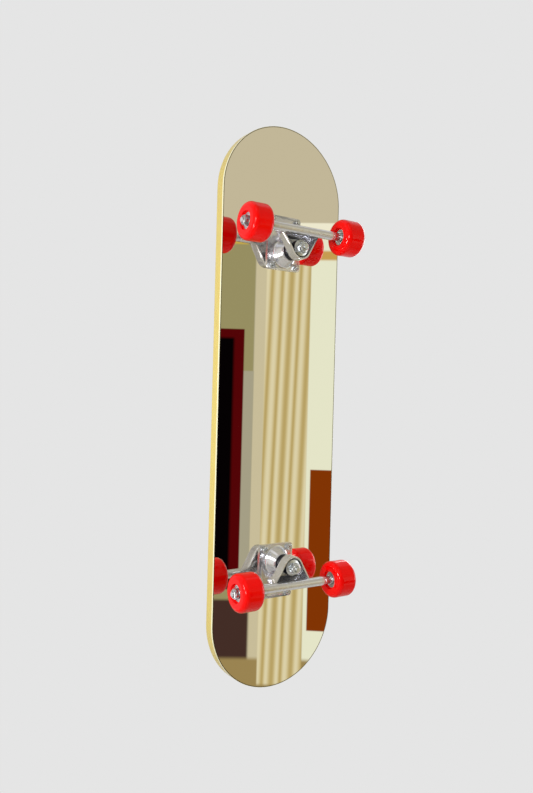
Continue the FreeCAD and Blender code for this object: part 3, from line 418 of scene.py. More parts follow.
def lacquered_birch():
    """Birch plywood, sanded and lacquered: pale figured face, and at the edge thin plies
    whose grain turns by a quarter each time, so light and golden brown lines alternate."""
    made, tree, skin = shader("lacquered birch plywood", IOR=1.5, Coat_Weight=0.35,
                              Coat_Roughness=0.12)
    spot = add(tree, "ShaderNodeTexCoord")
    deep = add(tree, "ShaderNodeSeparateXYZ", {0: spot.outputs["Object"]}).outputs["Y"]
    plies = maths(tree, "MULTIPLY", deep, 1000 / (2 * PLY_THICK))
    wander = patches(tree, (9, 9, 9), 2.0).outputs["Fac"]
    part = maths(tree, "FRACT", maths(tree, "MULTIPLY_ADD", wander, 0.22, plies))
    lines = add(tree, "ShaderNodeValToRGB", {"Fac": part})
    ramp = lines.color_ramp
    ramp.elements[0].position = 0.0
    ramp.elements[0].color = linear("#E2D484")
    ramp.elements[1].position = 0.44
    ramp.elements[1].color = linear("#D8C464")
    for along, colour in ((0.50, "#937A26"), (0.56, "#C9AE4C"), (0.92, "#C2A545"),
                          (0.97, "#937A26")):
        ramp.elements.new(along).color = linear(colour)
    # end grain flecks, about 0.4 mm wide and 6 mm long, along the board
    fleck = patches(tree, (900, 2500, 160), 3.0)
    edge = mixed(tree, 0.28, lines.outputs["Color"], fleck.outputs["Color"], "OVERLAY")
    # face figure: long grain lines, thrown into loops by slow waves
    sway = patches(tree, (7, 7, 2.2), 3.0).outputs["Color"]
    bent = add(tree, "ShaderNodeVectorMath",
               {0: sway, 1: sway, 2: object_place(tree, (1, 1, 0.06))},
               operation="MULTIPLY_ADD")
    figure = add(tree, "ShaderNodeTexWave",
                 {"Vector": bent.outputs[0], "Scale": 42.0, "Distortion": 2.0,
                  "Detail": 3.0, "Detail Scale": 2.0}, bands_direction="X")
    pores = patches(tree, (1600, 900, 55), 2.0)
    grained = mixed(tree, 0.25, mixed(tree, figure.outputs["Fac"], "#D9BE86", "#E8D3A2"),
                    pores.outputs["Color"], "OVERLAY")
    flat = add(tree, "ShaderNodeSeparateXYZ", {0: spot.outputs["Normal"]}).outputs["Y"]
    is_face = ranged(tree, maths(tree, "ABSOLUTE", flat), 0.0, 1.0, (0.6, 0.9))
    feed(tree, skin, Base_Color=mixed(tree, is_face, edge, grained),
         Roughness=ranged(tree, fleck.outputs["Fac"], 0.34, 0.52))
    relief(tree, skin, pores.outputs["Fac"], 0.12, 0.0002)
    return made


birch = lacquered_birch()
deck = round_ended("deck", BOARD_WIDE, BOARD_LONG, DECK_THICK, -DECK_THICK)
modify(deck, "BEVEL", width=DECK_ROUND, segments=3, limit_method="ANGLE")
for x, z in bolt_places():
    combine(deck, rod(BOLT_HOLE, DECK_THICK * 3, (x, 0, z)), "DIFFERENCE")
    start()
    bpy.ops.mesh.primitive_cone_add(vertices=48, radius1=BOLT_SINK, radius2=0.0,
                                    depth=BOLT_SINK, location=(x, 1.1 - BOLT_SINK / 2, z),
                                    rotation=(math.pi / 2, 0, 0))
    bpy.ops.object.transform_apply(location=True, rotation=True, scale=True)
    combine(deck, bpy.context.object, "DIFFERENCE")
for up in (HOOK_UP, -HOOK_UP):
    combine(deck, block((22.0, 4.0, 46.0), (0, 0, up)), "DIFFERENCE")
    combine(deck, block((13.0, 16.0, 24.0), (0, 0, up)), "DIFFERENCE")
    for side in (-1, 1):
        combine(deck, rod(1.6, 20.2, (0, 0, up + side * HOOK_SCREW)), "DIFFERENCE")
soften(deck)
settle(deck, "plywood_deck", birch)
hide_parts("deck")
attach(deck, "board")


# ---------------------------------------------------------------- mirror
# Sheet of mirror acrylic cut to the board's outline with its edge polished, bonded on. The
# silvering is on its back. Its edge is painted as a thin pale line that is partly a painted
# highlight, and a ring of painted shade just inside the outline makes a darker line on the face.
MIRROR_THICK = 3.0
FRONT = -(DECK_THICK + MIRROR_THICK)
# width of the ring inside the outline that carries the painted edge shade
EDGE_LINE = 1.1


def mirror_acrylic():
    """Mirror acrylic: nearly all light comes back, a little warm, with no visible haze."""
    made, tree, skin = shader("mirror acrylic", Metallic=1.0, Roughness=0.004,
                              Base_Color=linear("#F6F4EE"))
    relief(tree, skin, patches(tree, (2.2, 2.2, 1.4), 0.0).outputs["Fac"], 0.02, 0.002)
    return made


def painted_highlight_edge():
    """Acrylic edge, flame-polished, over the silvering: pale and a little green, painted bright
    as a highlight along the edge.
    """
    made, tree, skin = shader("acrylic edge with painted highlight", IOR=1.49, Roughness=0.08,
                              Coat_Weight=0.3, Coat_Roughness=0.03)
    spot = patches(tree, (60, 60, 12), 2.0)
    feed(tree, skin, Base_Color=mixed(tree, spot.outputs["Fac"], "#DEDAB4", "#F2EFCF"))
    return made


def painted_edge_shade():
    """The last millimetre of the sheet: a darker line of painted shade, standing for the sheet's
    own edge seen through it.
    """
    return shader("mirror acrylic with painted edge shade", Metallic=1.0, Roughness=0.12,
                  Base_Color=linear("#8E8A78"))[0]


def to_outline(at):
    """How far inside the board's outline a place lies."""
    beyond = max(abs(at.z) - (BOARD_LONG - BOARD_WIDE) / 2, 0)
    return BOARD_WIDE / 2 - math.hypot(at.x, beyond)


def pick(piece, chosen):
    """In edit mode, select the vertices that a rule on their place picks."""
    bpy.ops.mesh.select_mode(type="VERT")
    bpy.ops.mesh.select_all(action="DESELECT")
    bpy.ops.object.mode_set(mode="OBJECT")
    for vertex in piece.data.vertices:
        vertex.select = chosen(vertex.co)
    bpy.ops.object.mode_set(mode="EDIT")


mirror = round_ended("mirror", BOARD_WIDE, BOARD_LONG, MIRROR_THICK - 0.02, FRONT)
modify(mirror, "BEVEL", width=0.35, segments=2, limit_method="ANGLE")
bpy.ops.object.mode_set(mode="EDIT")
pick(mirror, lambda co: abs(co.y - FRONT) < 0.001)
bpy.ops.mesh.select_mode(type="FACE")
bpy.ops.mesh.inset(thickness=EDGE_LINE, depth=0)
start(mirror)
for x, z in bolt_places():
    combine(mirror, rod(BOLT_HOLE, 20.0, (x, FRONT, z)), "DIFFERENCE")
soften(mirror)
settle(mirror, "mirror_face", mirror_acrylic())
# the pale edge, its colour partly its own tone and partly a painted highlight
mirror.data.materials.append(painted_highlight_edge())
# the darker ring of painted shade inside the outline
mirror.data.materials.append(painted_edge_shade())
# the sheet's side and back take the pale edge colour with its painted highlight; the ring inside
# the outline takes the darker line of painted shade
for face in mirror.data.polygons:
    near = all(to_outline(mirror.data.vertices[corner].co * 1000) < EDGE_LINE + 0.5
               for corner in face.vertices)
    face.material_index = 1 if face.normal.y > -0.999 else 2 if near else 0
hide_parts("mirror_sheet")
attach(mirror, "board")


# ---------------------------------------------------------------- truck bolts
# Countersunk machine bolts pushed in from the back of the board, with a cross in each head,
# and plain nuts on the base plates, a thread or so showing.
PLATE_THICK = 2.5
BOLT_RADIUS = 2.5
BOLT_HEAD = 4.8
BOLT_TIP = 0.8
NUT_HEIGHT = 4.0


def turned(name, outline, steps=64, rounds=()):
    """A piece turned about Z from an outline of (radius, height). An outline that starts
    and ends off the axis is closed. rounds lists corners (radius, height, size) to round."""
    closed = outline[0][0] > 0.001
    walk = list(outline) + ([outline[0]] if closed else [])
    piece = point(name, (walk[0][0], 0, walk[0][1]))
    for before, after in zip(walk, walk[1:]):
        run((after[0] - before[0], 0, after[1] - before[1]))
    merge(0.001)
    for radius, height, size in rounds:
        pick(piece, lambda co: abs(co.x - radius) < 0.01 and abs(co.z - height) < 0.01)
        bpy.ops.mesh.bevel(offset=size, segments=max(3, int(size * 2)), affect="VERTICES")
    bpy.ops.mesh.select_all(action="SELECT")
    bpy.ops.mesh.spin(steps=steps, angle=2 * math.pi, center=(0, 0, 0), axis=(0, 0, 1))
    merge(0.001)
    shut(piece)
    return piece


def threaded(radius, low, high, pitch, cut=0.35):
    """Outline of a thread between two heights: crests at the radius, roots inside it."""
    count = int((high - low) / pitch)
    points = []
    for i in range(count):
        points.append((radius, low + (i + 0.25) * pitch))
        points.append((radius - cut, low + (i + 0.75) * pitch))
    return points


def hex_nut(name, flats, height, hole, collar=True):
    """A nut standing on z = 0: chamfered hexagon, and, when collar is set, a round crown like a
    lock nut's; its nylon ring is not built.
    """
    crown = height * 0.72 if collar else height
    start()
    bpy.ops.mesh.primitive_cylinder_add(vertices=6, radius=flats / math.sqrt(3),
                                        depth=crown, location=(0, 0, crown / 2))
    nut = bpy.context.object
    bpy.ops.object.transform_apply(location=True, rotation=True, scale=True)
    edge = flats / 2
    lathe = turned("lathe", [(0, 0), (edge * 0.97, 0), (edge * 1.16, edge * 0.11),
                             (edge * 1.16, crown - edge * 0.11), (edge * 0.97, crown),
                             (0, crown)], 48)
    combine(nut, lathe, "INTERSECT")
    if collar:
        ring = turned("crown", [(0, crown - 0.5), (edge * 0.9, crown - 0.5),
                                (edge * 0.9, height - edge * 0.12), (edge * 0.72, height),
                                (0, height)], 48)
        combine(nut, ring, "UNION")
    combine(nut, rod(hole, height * 3, (0, 0, 0), "Z", 40), "DIFFERENCE")
    nut.name = name
    soften(nut, flats * 0.012, 2)
    return nut


def copy_of(piece, name, place):
    """Another of the same piece, with its own mesh, moved within the frame (in mm)."""
    twin = piece.copy()
    twin.data = piece.data.copy()
    bpy.context.scene.collection.objects.link(twin)
    start(twin)
    twin.name = name
    twin.matrix_world = (Matrix.Scale(0.001, 4) @ place @ Matrix.Scale(1000, 4)
                         @ twin.matrix_world)
    bpy.ops.object.transform_apply(location=True, rotation=True, scale=True)
    return twin


def joined(pieces, name):
    """Several separate solids made one object."""
    start()
    for piece in pieces:
        piece.select_set(True)
    bpy.context.view_layer.objects.active = pieces[0]
    bpy.ops.object.join()
    pieces[0].name = name
    return pieces[0]


def plated_steel():
    """Bright zinc plate on steel: a blue-grey metal, its shine broken by fine cloudy
    patches a few millimetres across and by hair scratches."""
    made, tree, skin = shader("bright zinc plate", Metallic=1.0)
    cloud = patches(tree, (320, 320, 320), 4.0).outputs["Fac"]
    feed(tree, skin, Base_Color=mixed(tree, cloud, "#C8CDD2", "#E4E8EA"),
         Roughness=ranged(tree, cloud, 0.21, 0.405, (0.3, 0.7)))
    relief(tree, skin, patches(tree, (2400, 2400, 500), 2.0).outputs["Fac"], 0.12, 0.0001)
    return made


zinc = plated_steel()


def cross_head(name, outline, radius, deep):
    """A countersunk screw with its head up at z = 0 and a cross pressed into it."""
    piece = turned(name, outline, 40)
    for turn in (0, math.pi / 2):
        wing = block((radius * 1.15, radius * 0.2, deep * 2), (0, 0, 0))
        wing.rotation_euler = (0, 0, turn)
        combine(piece, wing, "DIFFERENCE")
    soften(piece, 0.1, 2)
    return piece


TO_BACK = Matrix.Rotation(math.radians(-90), 4, "X")        # +Z becomes +Y
TO_FRONT = Matrix.Rotation(math.radians(90), 4, "X")        # +Z becomes -Y
long_bolt = DECK_THICK + MIRROR_THICK + PLATE_THICK + NUT_HEIGHT + BOLT_TIP
bolt = cross_head("bolt", [(0, 0), (BOLT_HEAD, 0), (BOLT_HEAD, -0.25), (BOLT_RADIUS, -2.5)]
                  + [(r, -z) for r, z in threaded(BOLT_RADIUS, 17.5, long_bolt - 0.6, 0.8)]
                  + [(1.9, -long_bolt), (0, -long_bolt)], 3.0, 1.6)
settle(bolt, "bolt", zinc, TO_BACK)
nut = hex_nut("nut", 8.0, NUT_HEIGHT, BOLT_RADIUS, collar=False)
settle(nut, "nut", zinc, Matrix.Translation((0, FRONT - PLATE_THICK, 0)) @ TO_FRONT)
bolts = []
nuts = []
for i, (x, z) in enumerate(bolt_places()):
    spin = Matrix.Rotation(math.radians(23 + 41 * i), 4, "Y")
    place = Matrix.Translation((x, 0, z)) @ spin
    bolts.append(copy_of(bolt, "bolt_copy", place))
    nuts.append(copy_of(nut, "nut_copy", place))
bpy.data.objects.remove(bolt)
bpy.data.objects.remove(nut)
for piece, node in ((joined(bolts, "truck_bolts_set"), "truck_bolts"),
                    (joined(nuts, "truck_nuts_set"), "truck_nuts")):
    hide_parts(node)
    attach(piece, "board")


# ---------------------------------------------------------------- keyhole hanging plates
# Two pressed plates let in flush with the back, each held by two small screws. The plates
# are the frame's own; the screws get a cross in their heads.
plates = frame["nodes"]["keyhole_plates"]
plates.data.materials.clear()
plates.data.materials.append(zinc)
woodscrew = cross_head("woodscrew", [(0, 0), (3.0, 0), (3.0, -0.2), (1.5, -1.5)]
                       + [(r, -z) for r, z in threaded(1.5, 1.8, 9.0, 1.1, 0.4)]
                       + [(0, -10.0)], 2.0, 1.0)
settle(woodscrew, "woodscrew", zinc, TO_BACK)
screws = []
for up in (HOOK_UP, -HOOK_UP):
    for side in (-1, 1):
        spin = Matrix.Rotation(math.radians(17 + 58 * len(screws)), 4, "Y")
        place = Matrix.Translation((0, 0, up + side * HOOK_SCREW)) @ spin
        screws.append(copy_of(woodscrew, "woodscrew_copy", place))
bpy.data.objects.remove(woodscrew)
screw_set = joined(screws, "hanging_screws")
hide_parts("keyhole_screws")
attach(screw_set, "board")


# ---------------------------------------------------------------- base plates
# Pressed from 2.5 mm sheet and chromed: flat with rounded corners, a conical boss drawn up in it
# for the kingpin, hollow on the real plate but built solid, and a small pocket for the hanger's
# pivot.
KING_IN = 25.5
KING_LEAN = math.radians(3.0)
BOSS_FOOT = 18.0
BOSS_TOP = 12.8
BOSS_HIGH = 17.5
PLATE_WIDE = 55.0
PLATE_IN = 48.0
PLATE_OUT = 27.5
PLATE_CORNER = 4.0
POCKET_RADIUS = 7.0
POCKET_LOW = -6.8
SEAT_RADIUS = 5.85
SEAT_LOW = -5.8
TRUCKS = {"lower": Matrix.Translation((0, FRONT, -TRUCK_UP)),
          "upper": Matrix.Translation((0, FRONT, TRUCK_UP)) @ Matrix.Rotation(math.pi, 4, "Y")}
# the kingpin line: its own +Z runs outward along the pin and its +Y away from the axle
KING = Matrix.Translation((0, 0, KING_IN)) @ Matrix.Rotation(math.pi / 2 + KING_LEAN, 4, "X")


def steering(truck):
    """The steering line of a truck, from the frame: its point and its direction, in mm."""
    joint = [j for j in frame["joints"] if j["name"] == "steer_" + truck][0]
    return Vector(joint["pos_m"]) * 1000, Vector(joint["axis"]).normalized()


pivot_at, pivot_way = steering("lower")
pivot_at = TRUCKS["lower"].inverted() @ pivot_at
STEER = Matrix.Translation(pivot_at) @ pivot_way.to_track_quat("Z", "X").to_matrix().to_4x4()


def chrome():
    """Bright plate on pressed steel: silvery, its reflections a little spread, cloudier in
    patches a few millimetres across, and waved very slightly where the sheet was drawn."""
    made, tree, skin = shader("bright plated pressed steel", Metallic=0.88,
                              Base_Color=linear("#E2E3E8"))
    haze = patches(tree, (120, 120, 120), 5.0).outputs["Fac"]
    feed(tree, skin, Roughness=ranged(tree, haze, 0.14, 0.28, (0.35, 0.7)))
    relief(tree, skin, patches(tree, (70, 70, 70), 1.0).outputs["Fac"], 0.16, 0.0008)
    return made


chromed = chrome()


def both_trucks(piece, name, node, body):
    """Settle a piece of the lower truck, in the truck's frame, and make the upper one."""
    for truck, place in TRUCKS.items():
        made = copy_of(piece, name + "_" + truck, place)
        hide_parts(node + "_" + truck)
        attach(made, body.format(truck))
    bpy.data.objects.remove(piece)


def pick_edges(piece, chosen):
    """In edit mode, select the edges that a rule on their two ends picks."""
    bpy.ops.mesh.select_mode(type="EDGE")
    bpy.ops.mesh.select_all(action="DESELECT")
    bpy.ops.object.mode_set(mode="OBJECT")
    for edge in piece.data.edges:
        first, last = [piece.data.vertices[i].co for i in edge.vertices]
        edge.select = chosen(first, last)
    bpy.ops.object.mode_set(mode="EDIT")


def put(piece, place):
    """Move a part of a piece to its place, still in millimetres."""
    piece.matrix_world = place
    start(piece)
    bpy.ops.object.transform_apply(location=True, rotation=True, scale=True)
    return piece


def baseplate():
    """The plate with its boss and pocket pressed up; the boss is built solid, and the pocket has
    a seat cut into it.
    """
    plate = block((PLATE_WIDE, PLATE_THICK, PLATE_IN + PLATE_OUT),
                  (0, -PLATE_THICK / 2, (PLATE_IN - PLATE_OUT) / 2))
    bpy.ops.object.mode_set(mode="EDIT")
    pick_edges(plate, lambda first, last: abs(first.y - last.y) > PLATE_THICK / 2)
    bpy.ops.mesh.bevel(offset=PLATE_CORNER, segments=8, affect="EDGES")
    start(plate)
    # the boss flares out into the sheet; its upper part leans with the kingpin
    flare = [(BOSS_FOOT + 3.4, 2.4), (BOSS_FOOT + 2.3, 2.52), (BOSS_FOOT + 1.3, 2.75),
             (BOSS_FOOT + 0.5, 3.2), (BOSS_FOOT - 0.15, 3.9), (BOSS_FOOT - 0.65, 4.8),
             (BOSS_FOOT - 1.0, 5.8)]
    boss = turned("boss", [(0, 1.0), (BOSS_FOOT + 3.4, 1.0)] + flare
                  + [(BOSS_TOP, BOSS_HIGH), (0, BOSS_HIGH)], 96,
                  [(BOSS_TOP, BOSS_HIGH, 1.4)])
    bpy.ops.object.mode_set(mode="EDIT")
    pick(boss, lambda co: co.z > 5.5)
    bpy.ops.transform.rotate(value=-KING_LEAN, orient_axis="X", center_override=(0, 0, 0))
    start(boss)
    put(boss, Matrix.Translation((0, 0, KING_IN)) @ Matrix.Rotation(math.pi / 2, 4, "X"))
    combine(plate, boss, "UNION")
    pocket = turned("pocket", [(0, POCKET_LOW), (POCKET_RADIUS, POCKET_LOW),
                               (POCKET_RADIUS, 2.0), (0, 2.0)], 64,
                    [(POCKET_RADIUS, POCKET_LOW, 1.5)])
    combine(plate, put(pocket, STEER), "UNION")
    seat = turned("seat", [(0, SEAT_LOW), (SEAT_RADIUS, SEAT_LOW), (SEAT_RADIUS, 4.0),
                           (0, 4.0)], 64)
    combine(plate, put(seat, STEER), "DIFFERENCE")
    # nothing stands behind the mirror's face, and the four bolts pass through
    combine(plate, block((80, 20, 120), (0, 10, 0)), "DIFFERENCE")
    for across in (-1, 1):
        for along in (-1, 1):
            at = (across * BOLT_ACROSS / 2, 0, PLATE_MIDDLE + along * BOLT_ALONG / 2)
            combine(plate, rod(BOLT_HOLE, 20.0, at), "DIFFERENCE")
    soften(plate, 0.45, 3)
    return settle(plate, "baseplate", chromed)


both_trucks(baseplate(), "pressed_baseplate", "baseplate", "board")


# ---------------------------------------------------------------- pivot cups and bushings
# Moulded black rubber: a small cup in the base plate for the hanger's nose, and two
# barrel-shaped bushings on the kingpin, one each side of the hanger.
KING_RADIUS = 4.0
WEB_LOW = 30.0
WEB_HIGH = 32.0
CUP_FACE = 19.0
DOME_LOW = 43.6


def black_rubber():
    """Moulded black rubber, smooth and half glossy, with a faint mould grain."""
    made, tree, skin = shader("moulded black rubber", IOR=1.52, Specular_IOR_Level=0.4)
    mottle = patches(tree, (500, 500, 500), 4.0).outputs["Fac"]
    feed(tree, skin, Base_Color=mixed(tree, mottle, "#030409", "#0D0F20"),
         Roughness=ranged(tree, mottle, 0.22, 0.42))
    relief(tree, skin, mottle, 0.2, 0.0002)
    return made


rubber = black_rubber()
cup = turned("cup", [(0, -5.7), (5.8, -5.7), (5.8, 2.0), (4.1, 2.0), (4.1, 0.0),
                     (2.9, -2.9), (0, -4.1)], 64)
soften(cup, 0.25, 2)
settle(cup, "cup", rubber, STEER)
both_trucks(cup, "pivot_cup_rubber", "pivot_cup", "board")


def bushing(name, low, high, foot, head):
    """A bushing between two heights: sides a little barrelled, edges well rounded."""
    middle = (low + high) / 2
    swell = max(foot, head)
    bore = KING_RADIUS + 0.15
    piece = turned(name, [(bore, low), (foot - 0.9, low), (foot - 0.1, low + 1.0),
                          (swell, middle), (head - 0.1, high - 1.0), (head - 0.9, high),
                          (bore, high)], 80)
    soften(piece, 0.5, 3, 12)
    return settle(piece, name, rubber, KING)


for piece, node, washer_end, hanger_end in (
        (bushing("board_bush", CUP_FACE + 0.05, WEB_LOW - 0.05, 11.6, 12.0),
         "board_bushing", CUP_FACE, WEB_LOW),
        (bushing("road_bush", WEB_HIGH + 0.05, DOME_LOW - 0.05, 12.0, 10.9),
         "road_bushing", DOME_LOW, WEB_HIGH)):
    for truck, place in TRUCKS.items():
        made = copy_of(piece, node + "_rubber_" + truck, place)
        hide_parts(node + "_" + truck)
        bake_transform(made)
    bpy.data.objects.remove(piece)


# ---------------------------------------------------------------- kingpins, washers and nuts
# The kingpin is a plated bolt through the boss. A shallow cup washer holds the board-side
# bushing, a domed one closes the road-side bushing, and a lock nut tightens the stack.
KING_TIP = 55.8
DOME_RADIUS = 11.0
DOME_RISE = 2.6
NUT_SEAT = DOME_LOW + DOME_RISE - 0.5

pin = turned("pin", [(0, 9.6), (7.6, 9.6), (7.6, 14.9), (KING_RADIUS, 14.9)]
             + threaded(KING_RADIUS, 44.0, KING_TIP - 1.3, 1.25, 0.5)
             + [(KING_RADIUS - 1.0, KING_TIP), (0, KING_TIP)], 64)
soften(pin, 0.12, 2)
settle(pin, "pin", zinc, KING)
both_trucks(pin, "kingpin_bolt", "kingpin", "board")

cup_washer = turned("cup_washer", [(KING_RADIUS + 0.1, BOSS_HIGH), (13.0, BOSS_HIGH),
                                   (13.3, BOSS_HIGH + 2.8), (12.2, BOSS_HIGH + 2.8),
                                   (12.1, CUP_FACE), (KING_RADIUS + 0.1, CUP_FACE)], 96)
soften(cup_washer, 0.35, 3)
settle(cup_washer, "cup_washer", chromed, KING)
both_trucks(cup_washer, "board_washer_cup", "board_washer", "board")


def dome_outline():
    """Section of the domed washer: an arc over the top, flat under, a turned-down rim."""
    curve = (DOME_RADIUS ** 2 + DOME_RISE ** 2) / (2 * DOME_RISE)
    low = DOME_LOW + DOME_RISE - curve
    bore = KING_RADIUS + 0.1
    top = []
    for i in range(12):
        radius = bore + (DOME_RADIUS - bore) * i / 11
        height = min(low + math.sqrt(curve ** 2 - radius ** 2), NUT_SEAT)
        top.append((radius, max(height, DOME_LOW + 0.3)))
    return top + [(DOME_RADIUS, DOME_LOW), (bore, DOME_LOW)]


dome = turned("dome", dome_outline(), 96)
soften(dome, 0.15, 2, 35)
settle(dome, "dome", zinc, KING)
both_trucks(dome, "road_washer_dome", "road_washer", "board")

king_nut = hex_nut("king_nut", 14.3, 8.0, KING_RADIUS)
settle(king_nut, "king_nut", zinc,
       KING @ Matrix.Translation((0, 0, NUT_SEAT)) @ Matrix.Rotation(0.4, 4, "Z"))
both_trucks(king_nut, "kingpin_lock_nut", "kingpin_nut", "board")


# ---------------------------------------------------------------- hangers
# Pressed from 2 mm sheet and chromed: a deep pan that wraps the road-side bushing, its
# walls running out to a tube that carries the axle and its floor turned up to it, and a
# pivot arm welded underneath.
RING_RADIUS = 15.2
RIM_HIGH = 45.0
FOOT_HALF = 30.5
FOOT_AT = 4.5 - KING_IN
FOOT_CUT = 6.0
END_STEP = 2.15
SHEET = 2.0
ARM_WIDE = 9.0
NOSE_RADIUS = 4.0
AXLE_OUT = 46.4
TUBE_RADIUS = 6.1
TUBE_HALF = 52.5


def pan_plan(name):
    """The pan's plan on the kingpin line, round at the ring, left selected in edit mode."""
    reach = math.hypot(FOOT_HALF, FOOT_AT)
    touch = math.atan2(FOOT_AT, FOOT_HALF) + math.acos(RING_RADIUS / reach)
    tangent = (RING_RADIUS * math.cos(touch), RING_RADIUS * math.sin(touch))
    pan = point(name, (FOOT_HALF, FOOT_AT, WEB_LOW))
    run((tangent[0] - FOOT_HALF, tangent[1] - FOOT_AT, 0))
    arc_about((0, 0, WEB_LOW), (0, 0, 1), 180 - 2 * math.degrees(touch), 48)
    run((tangent[0] - FOOT_HALF, FOOT_AT - tangent[1], 0))
    bpy.ops.mesh.select_all(action="SELECT")
    bpy.ops.mesh.edge_face_add()
    return pan


def slanted(piece, step, keep_inner):
    """Cut along the slope from the walls' feet down to the web, a step towards the pin."""
    bpy.ops.object.mode_set(mode="EDIT")
    bpy.ops.mesh.select_all(action="SELECT")
    slope = Vector((0, RIM_HIGH - WEB_LOW, FOOT_CUT)).normalized()
    bpy.ops.mesh.bisect(plane_co=(0, FOOT_AT + step, RIM_HIGH), plane_no=slope,
                        use_fill=True, clear_inner=not keep_inner, clear_outer=keep_inner)
    start(piece)


def open_side(first, last):
    """Whether an edge of the plan lies along the side left open towards the tube."""
    return all(abs(co.y - FOOT_AT) < 0.01 for co in (first, last))


def hanger_pan():
    """Floor and walls pressed from sheet, with the fold between them drawn round."""
    pan = pan_plan("pan")
    pick_edges(pan, lambda first, last: not open_side(first, last))
    bpy.ops.mesh.extrude_edges_move(
        TRANSFORM_OT_translate={"value": (0, 0, RIM_HIGH - WEB_LOW)})
    pick_edges(pan, lambda first, last: not open_side(first, last)
               and all(abs(co.z - WEB_LOW) < 0.01 for co in (first, last)))
    bpy.ops.mesh.bevel(offset=2.6, segments=5, affect="EDGES")
    shut(pan)
    modify(pan, "SOLIDIFY", thickness=SHEET, offset=-1.0, use_even_offset=True)
    slanted(pan, 0, False)
    combine(pan, rod(6.5, 20.0, (0, 0, WEB_LOW), "Z", 64), "DIFFERENCE")
    return pan


def hanger():
    """The pan with its floor turned up at the tube, the arm and its nose, and the tube."""
    pan = hanger_pan()
    end = pan_plan("end")
    run((0, 0, RIM_HIGH - 1.0 - WEB_LOW))
    shut(end)
    slanted(end, 0, False)
    slanted(end, END_STEP, True)
    combine(pan, end, "UNION")
    # the arm's outline, in steps away from the axle and outward: under the tube, along the
    # pan's end, out to the nose's foot and back
    arm = point("arm", (-ARM_WIDE / 2, FOOT_AT - 7.0, WEB_LOW + 11.0))
    for step in ((4.0, 1.7), (3.5, 0.3), (5.0, -10.0), (0, -7.0), (-3.0, -7.5), (-5.5, -1.5),
                 (-4.0, 2.5)):
        run((0, step[0], step[1]))
    bpy.ops.mesh.select_all(action="SELECT")
    bpy.ops.mesh.edge_face_add()
    run((ARM_WIDE, 0, 0))
    shut(arm)
    combine(pan, arm, "UNION")
    put(pan, KING)
    quarter = [a / 8 * math.pi / 2 for a in range(9)]
    nose = turned("nose", [(NOSE_RADIUS * math.sin(a), -NOSE_RADIUS * math.cos(a))
                           for a in quarter]
                  + [(NOSE_RADIUS, 4.0), (5.2, 12.0), (0, 12.0)], 48)
    combine(pan, put(nose, STEER), "UNION")
    tube = turned("tube", [(0, -TUBE_HALF), (4.9, -TUBE_HALF), (TUBE_RADIUS, -TUBE_HALF + 3.0),
                           (TUBE_RADIUS, TUBE_HALF - 3.0), (4.9, TUBE_HALF), (0, TUBE_HALF)],
                  96)
    put(tube, Matrix.Translation((0, -AXLE_OUT, 0)) @ Matrix.Rotation(math.pi / 2, 4, "Y"))
    combine(pan, tube, "UNION")
    combine(pan, rod(4.0, 140.0, (0, -AXLE_OUT, 0), "X", 64), "DIFFERENCE")
    soften(pan, 0.4, 3)
    return settle(pan, "hanger", chromed)


both_trucks(hanger(), "pressed_hanger", "hanger", "hanger_body_{}")


# ---------------------------------------------------------------- axles
# One 8 mm rod through each hanger's tube, shouldered inside the wheels and threaded at both
# ends.
AXLE_RADIUS = 3.97
AXLE_HALF = 97.6
WHEEL_AT = 76.3
WHEEL_WIDE = 32.0
HUB_DEEP = 3.5
COLLAR_END = WHEEL_AT - WHEEL_WIDE / 2 + HUB_DEEP - 1.0
thread = threaded(AXLE_RADIUS, WHEEL_AT + 13.0, AXLE_HALF - 1.2, 1.25, 0.45)
half = ([(AXLE_RADIUS, TUBE_HALF), (5.2, TUBE_HALF), (5.2, COLLAR_END),
         (AXLE_RADIUS, COLLAR_END)] + thread
        + [(AXLE_RADIUS - 0.8, AXLE_HALF), (0, AXLE_HALF)])
axle = turned("axle", [(r, -z) for r, z in reversed(half)] + half, 64)
soften(axle, 0.12, 2)
settle(axle, "axle", zinc,
       Matrix.Translation((0, -AXLE_OUT, 0)) @ Matrix.Rotation(math.pi / 2, 4, "Y"))
both_trucks(axle, "axle_rod", "axle", "hanger_body_{}")


# ---------------------------------------------------------------- wheels
# Cast red urethane on no core: broad rounded shoulders, flat sides, and a seat in each side
# that the bearing is pressed into.
WHEEL_RADIUS = 25.3
HUB_RADIUS = 12.3
BEARING_RADIUS = 11.0
BEARING_WIDE = 7.0
WASHER_THICK = 1.0


def red_urethane():
    """Cast polyurethane: a deep even red with a wet gloss."""
    made, tree, skin = shader("cast red urethane", IOR=1.5, Specular_IOR_Level=0.2)
    cloud = patches(tree, (45, 45, 45), 3.0).outputs["Fac"]
    feed(tree, skin, Base_Color=mixed(tree, cloud, "#E80000", "#F40402"),
         Roughness=ranged(tree, cloud, 0.05, 0.11))
    relief(tree, skin, patches(tree, (700, 700, 700), 2.0).outputs["Fac"], 0.08, 0.0002)
    return made


side = WHEEL_WIDE / 2
face = side - HUB_DEEP
seat = face - BEARING_WIDE
profile = [(8.5, seat), (BEARING_RADIUS, seat), (BEARING_RADIUS, face), (HUB_RADIUS, face),
           (HUB_RADIUS, side - 0.5), (HUB_RADIUS + 0.5, side), (WHEEL_RADIUS, side)]
wheel = turned("wheel", profile + [(r, -z) for r, z in reversed(profile)], 128,
               [(WHEEL_RADIUS, side, 7.0), (WHEEL_RADIUS, -side, 7.0)])
soften(wheel, 0.25, 2, 25)
ALONG_AXLE = Matrix.Rotation(math.pi / 2, 4, "Y")
settle(wheel, "wheel", red_urethane(), ALONG_AXLE)


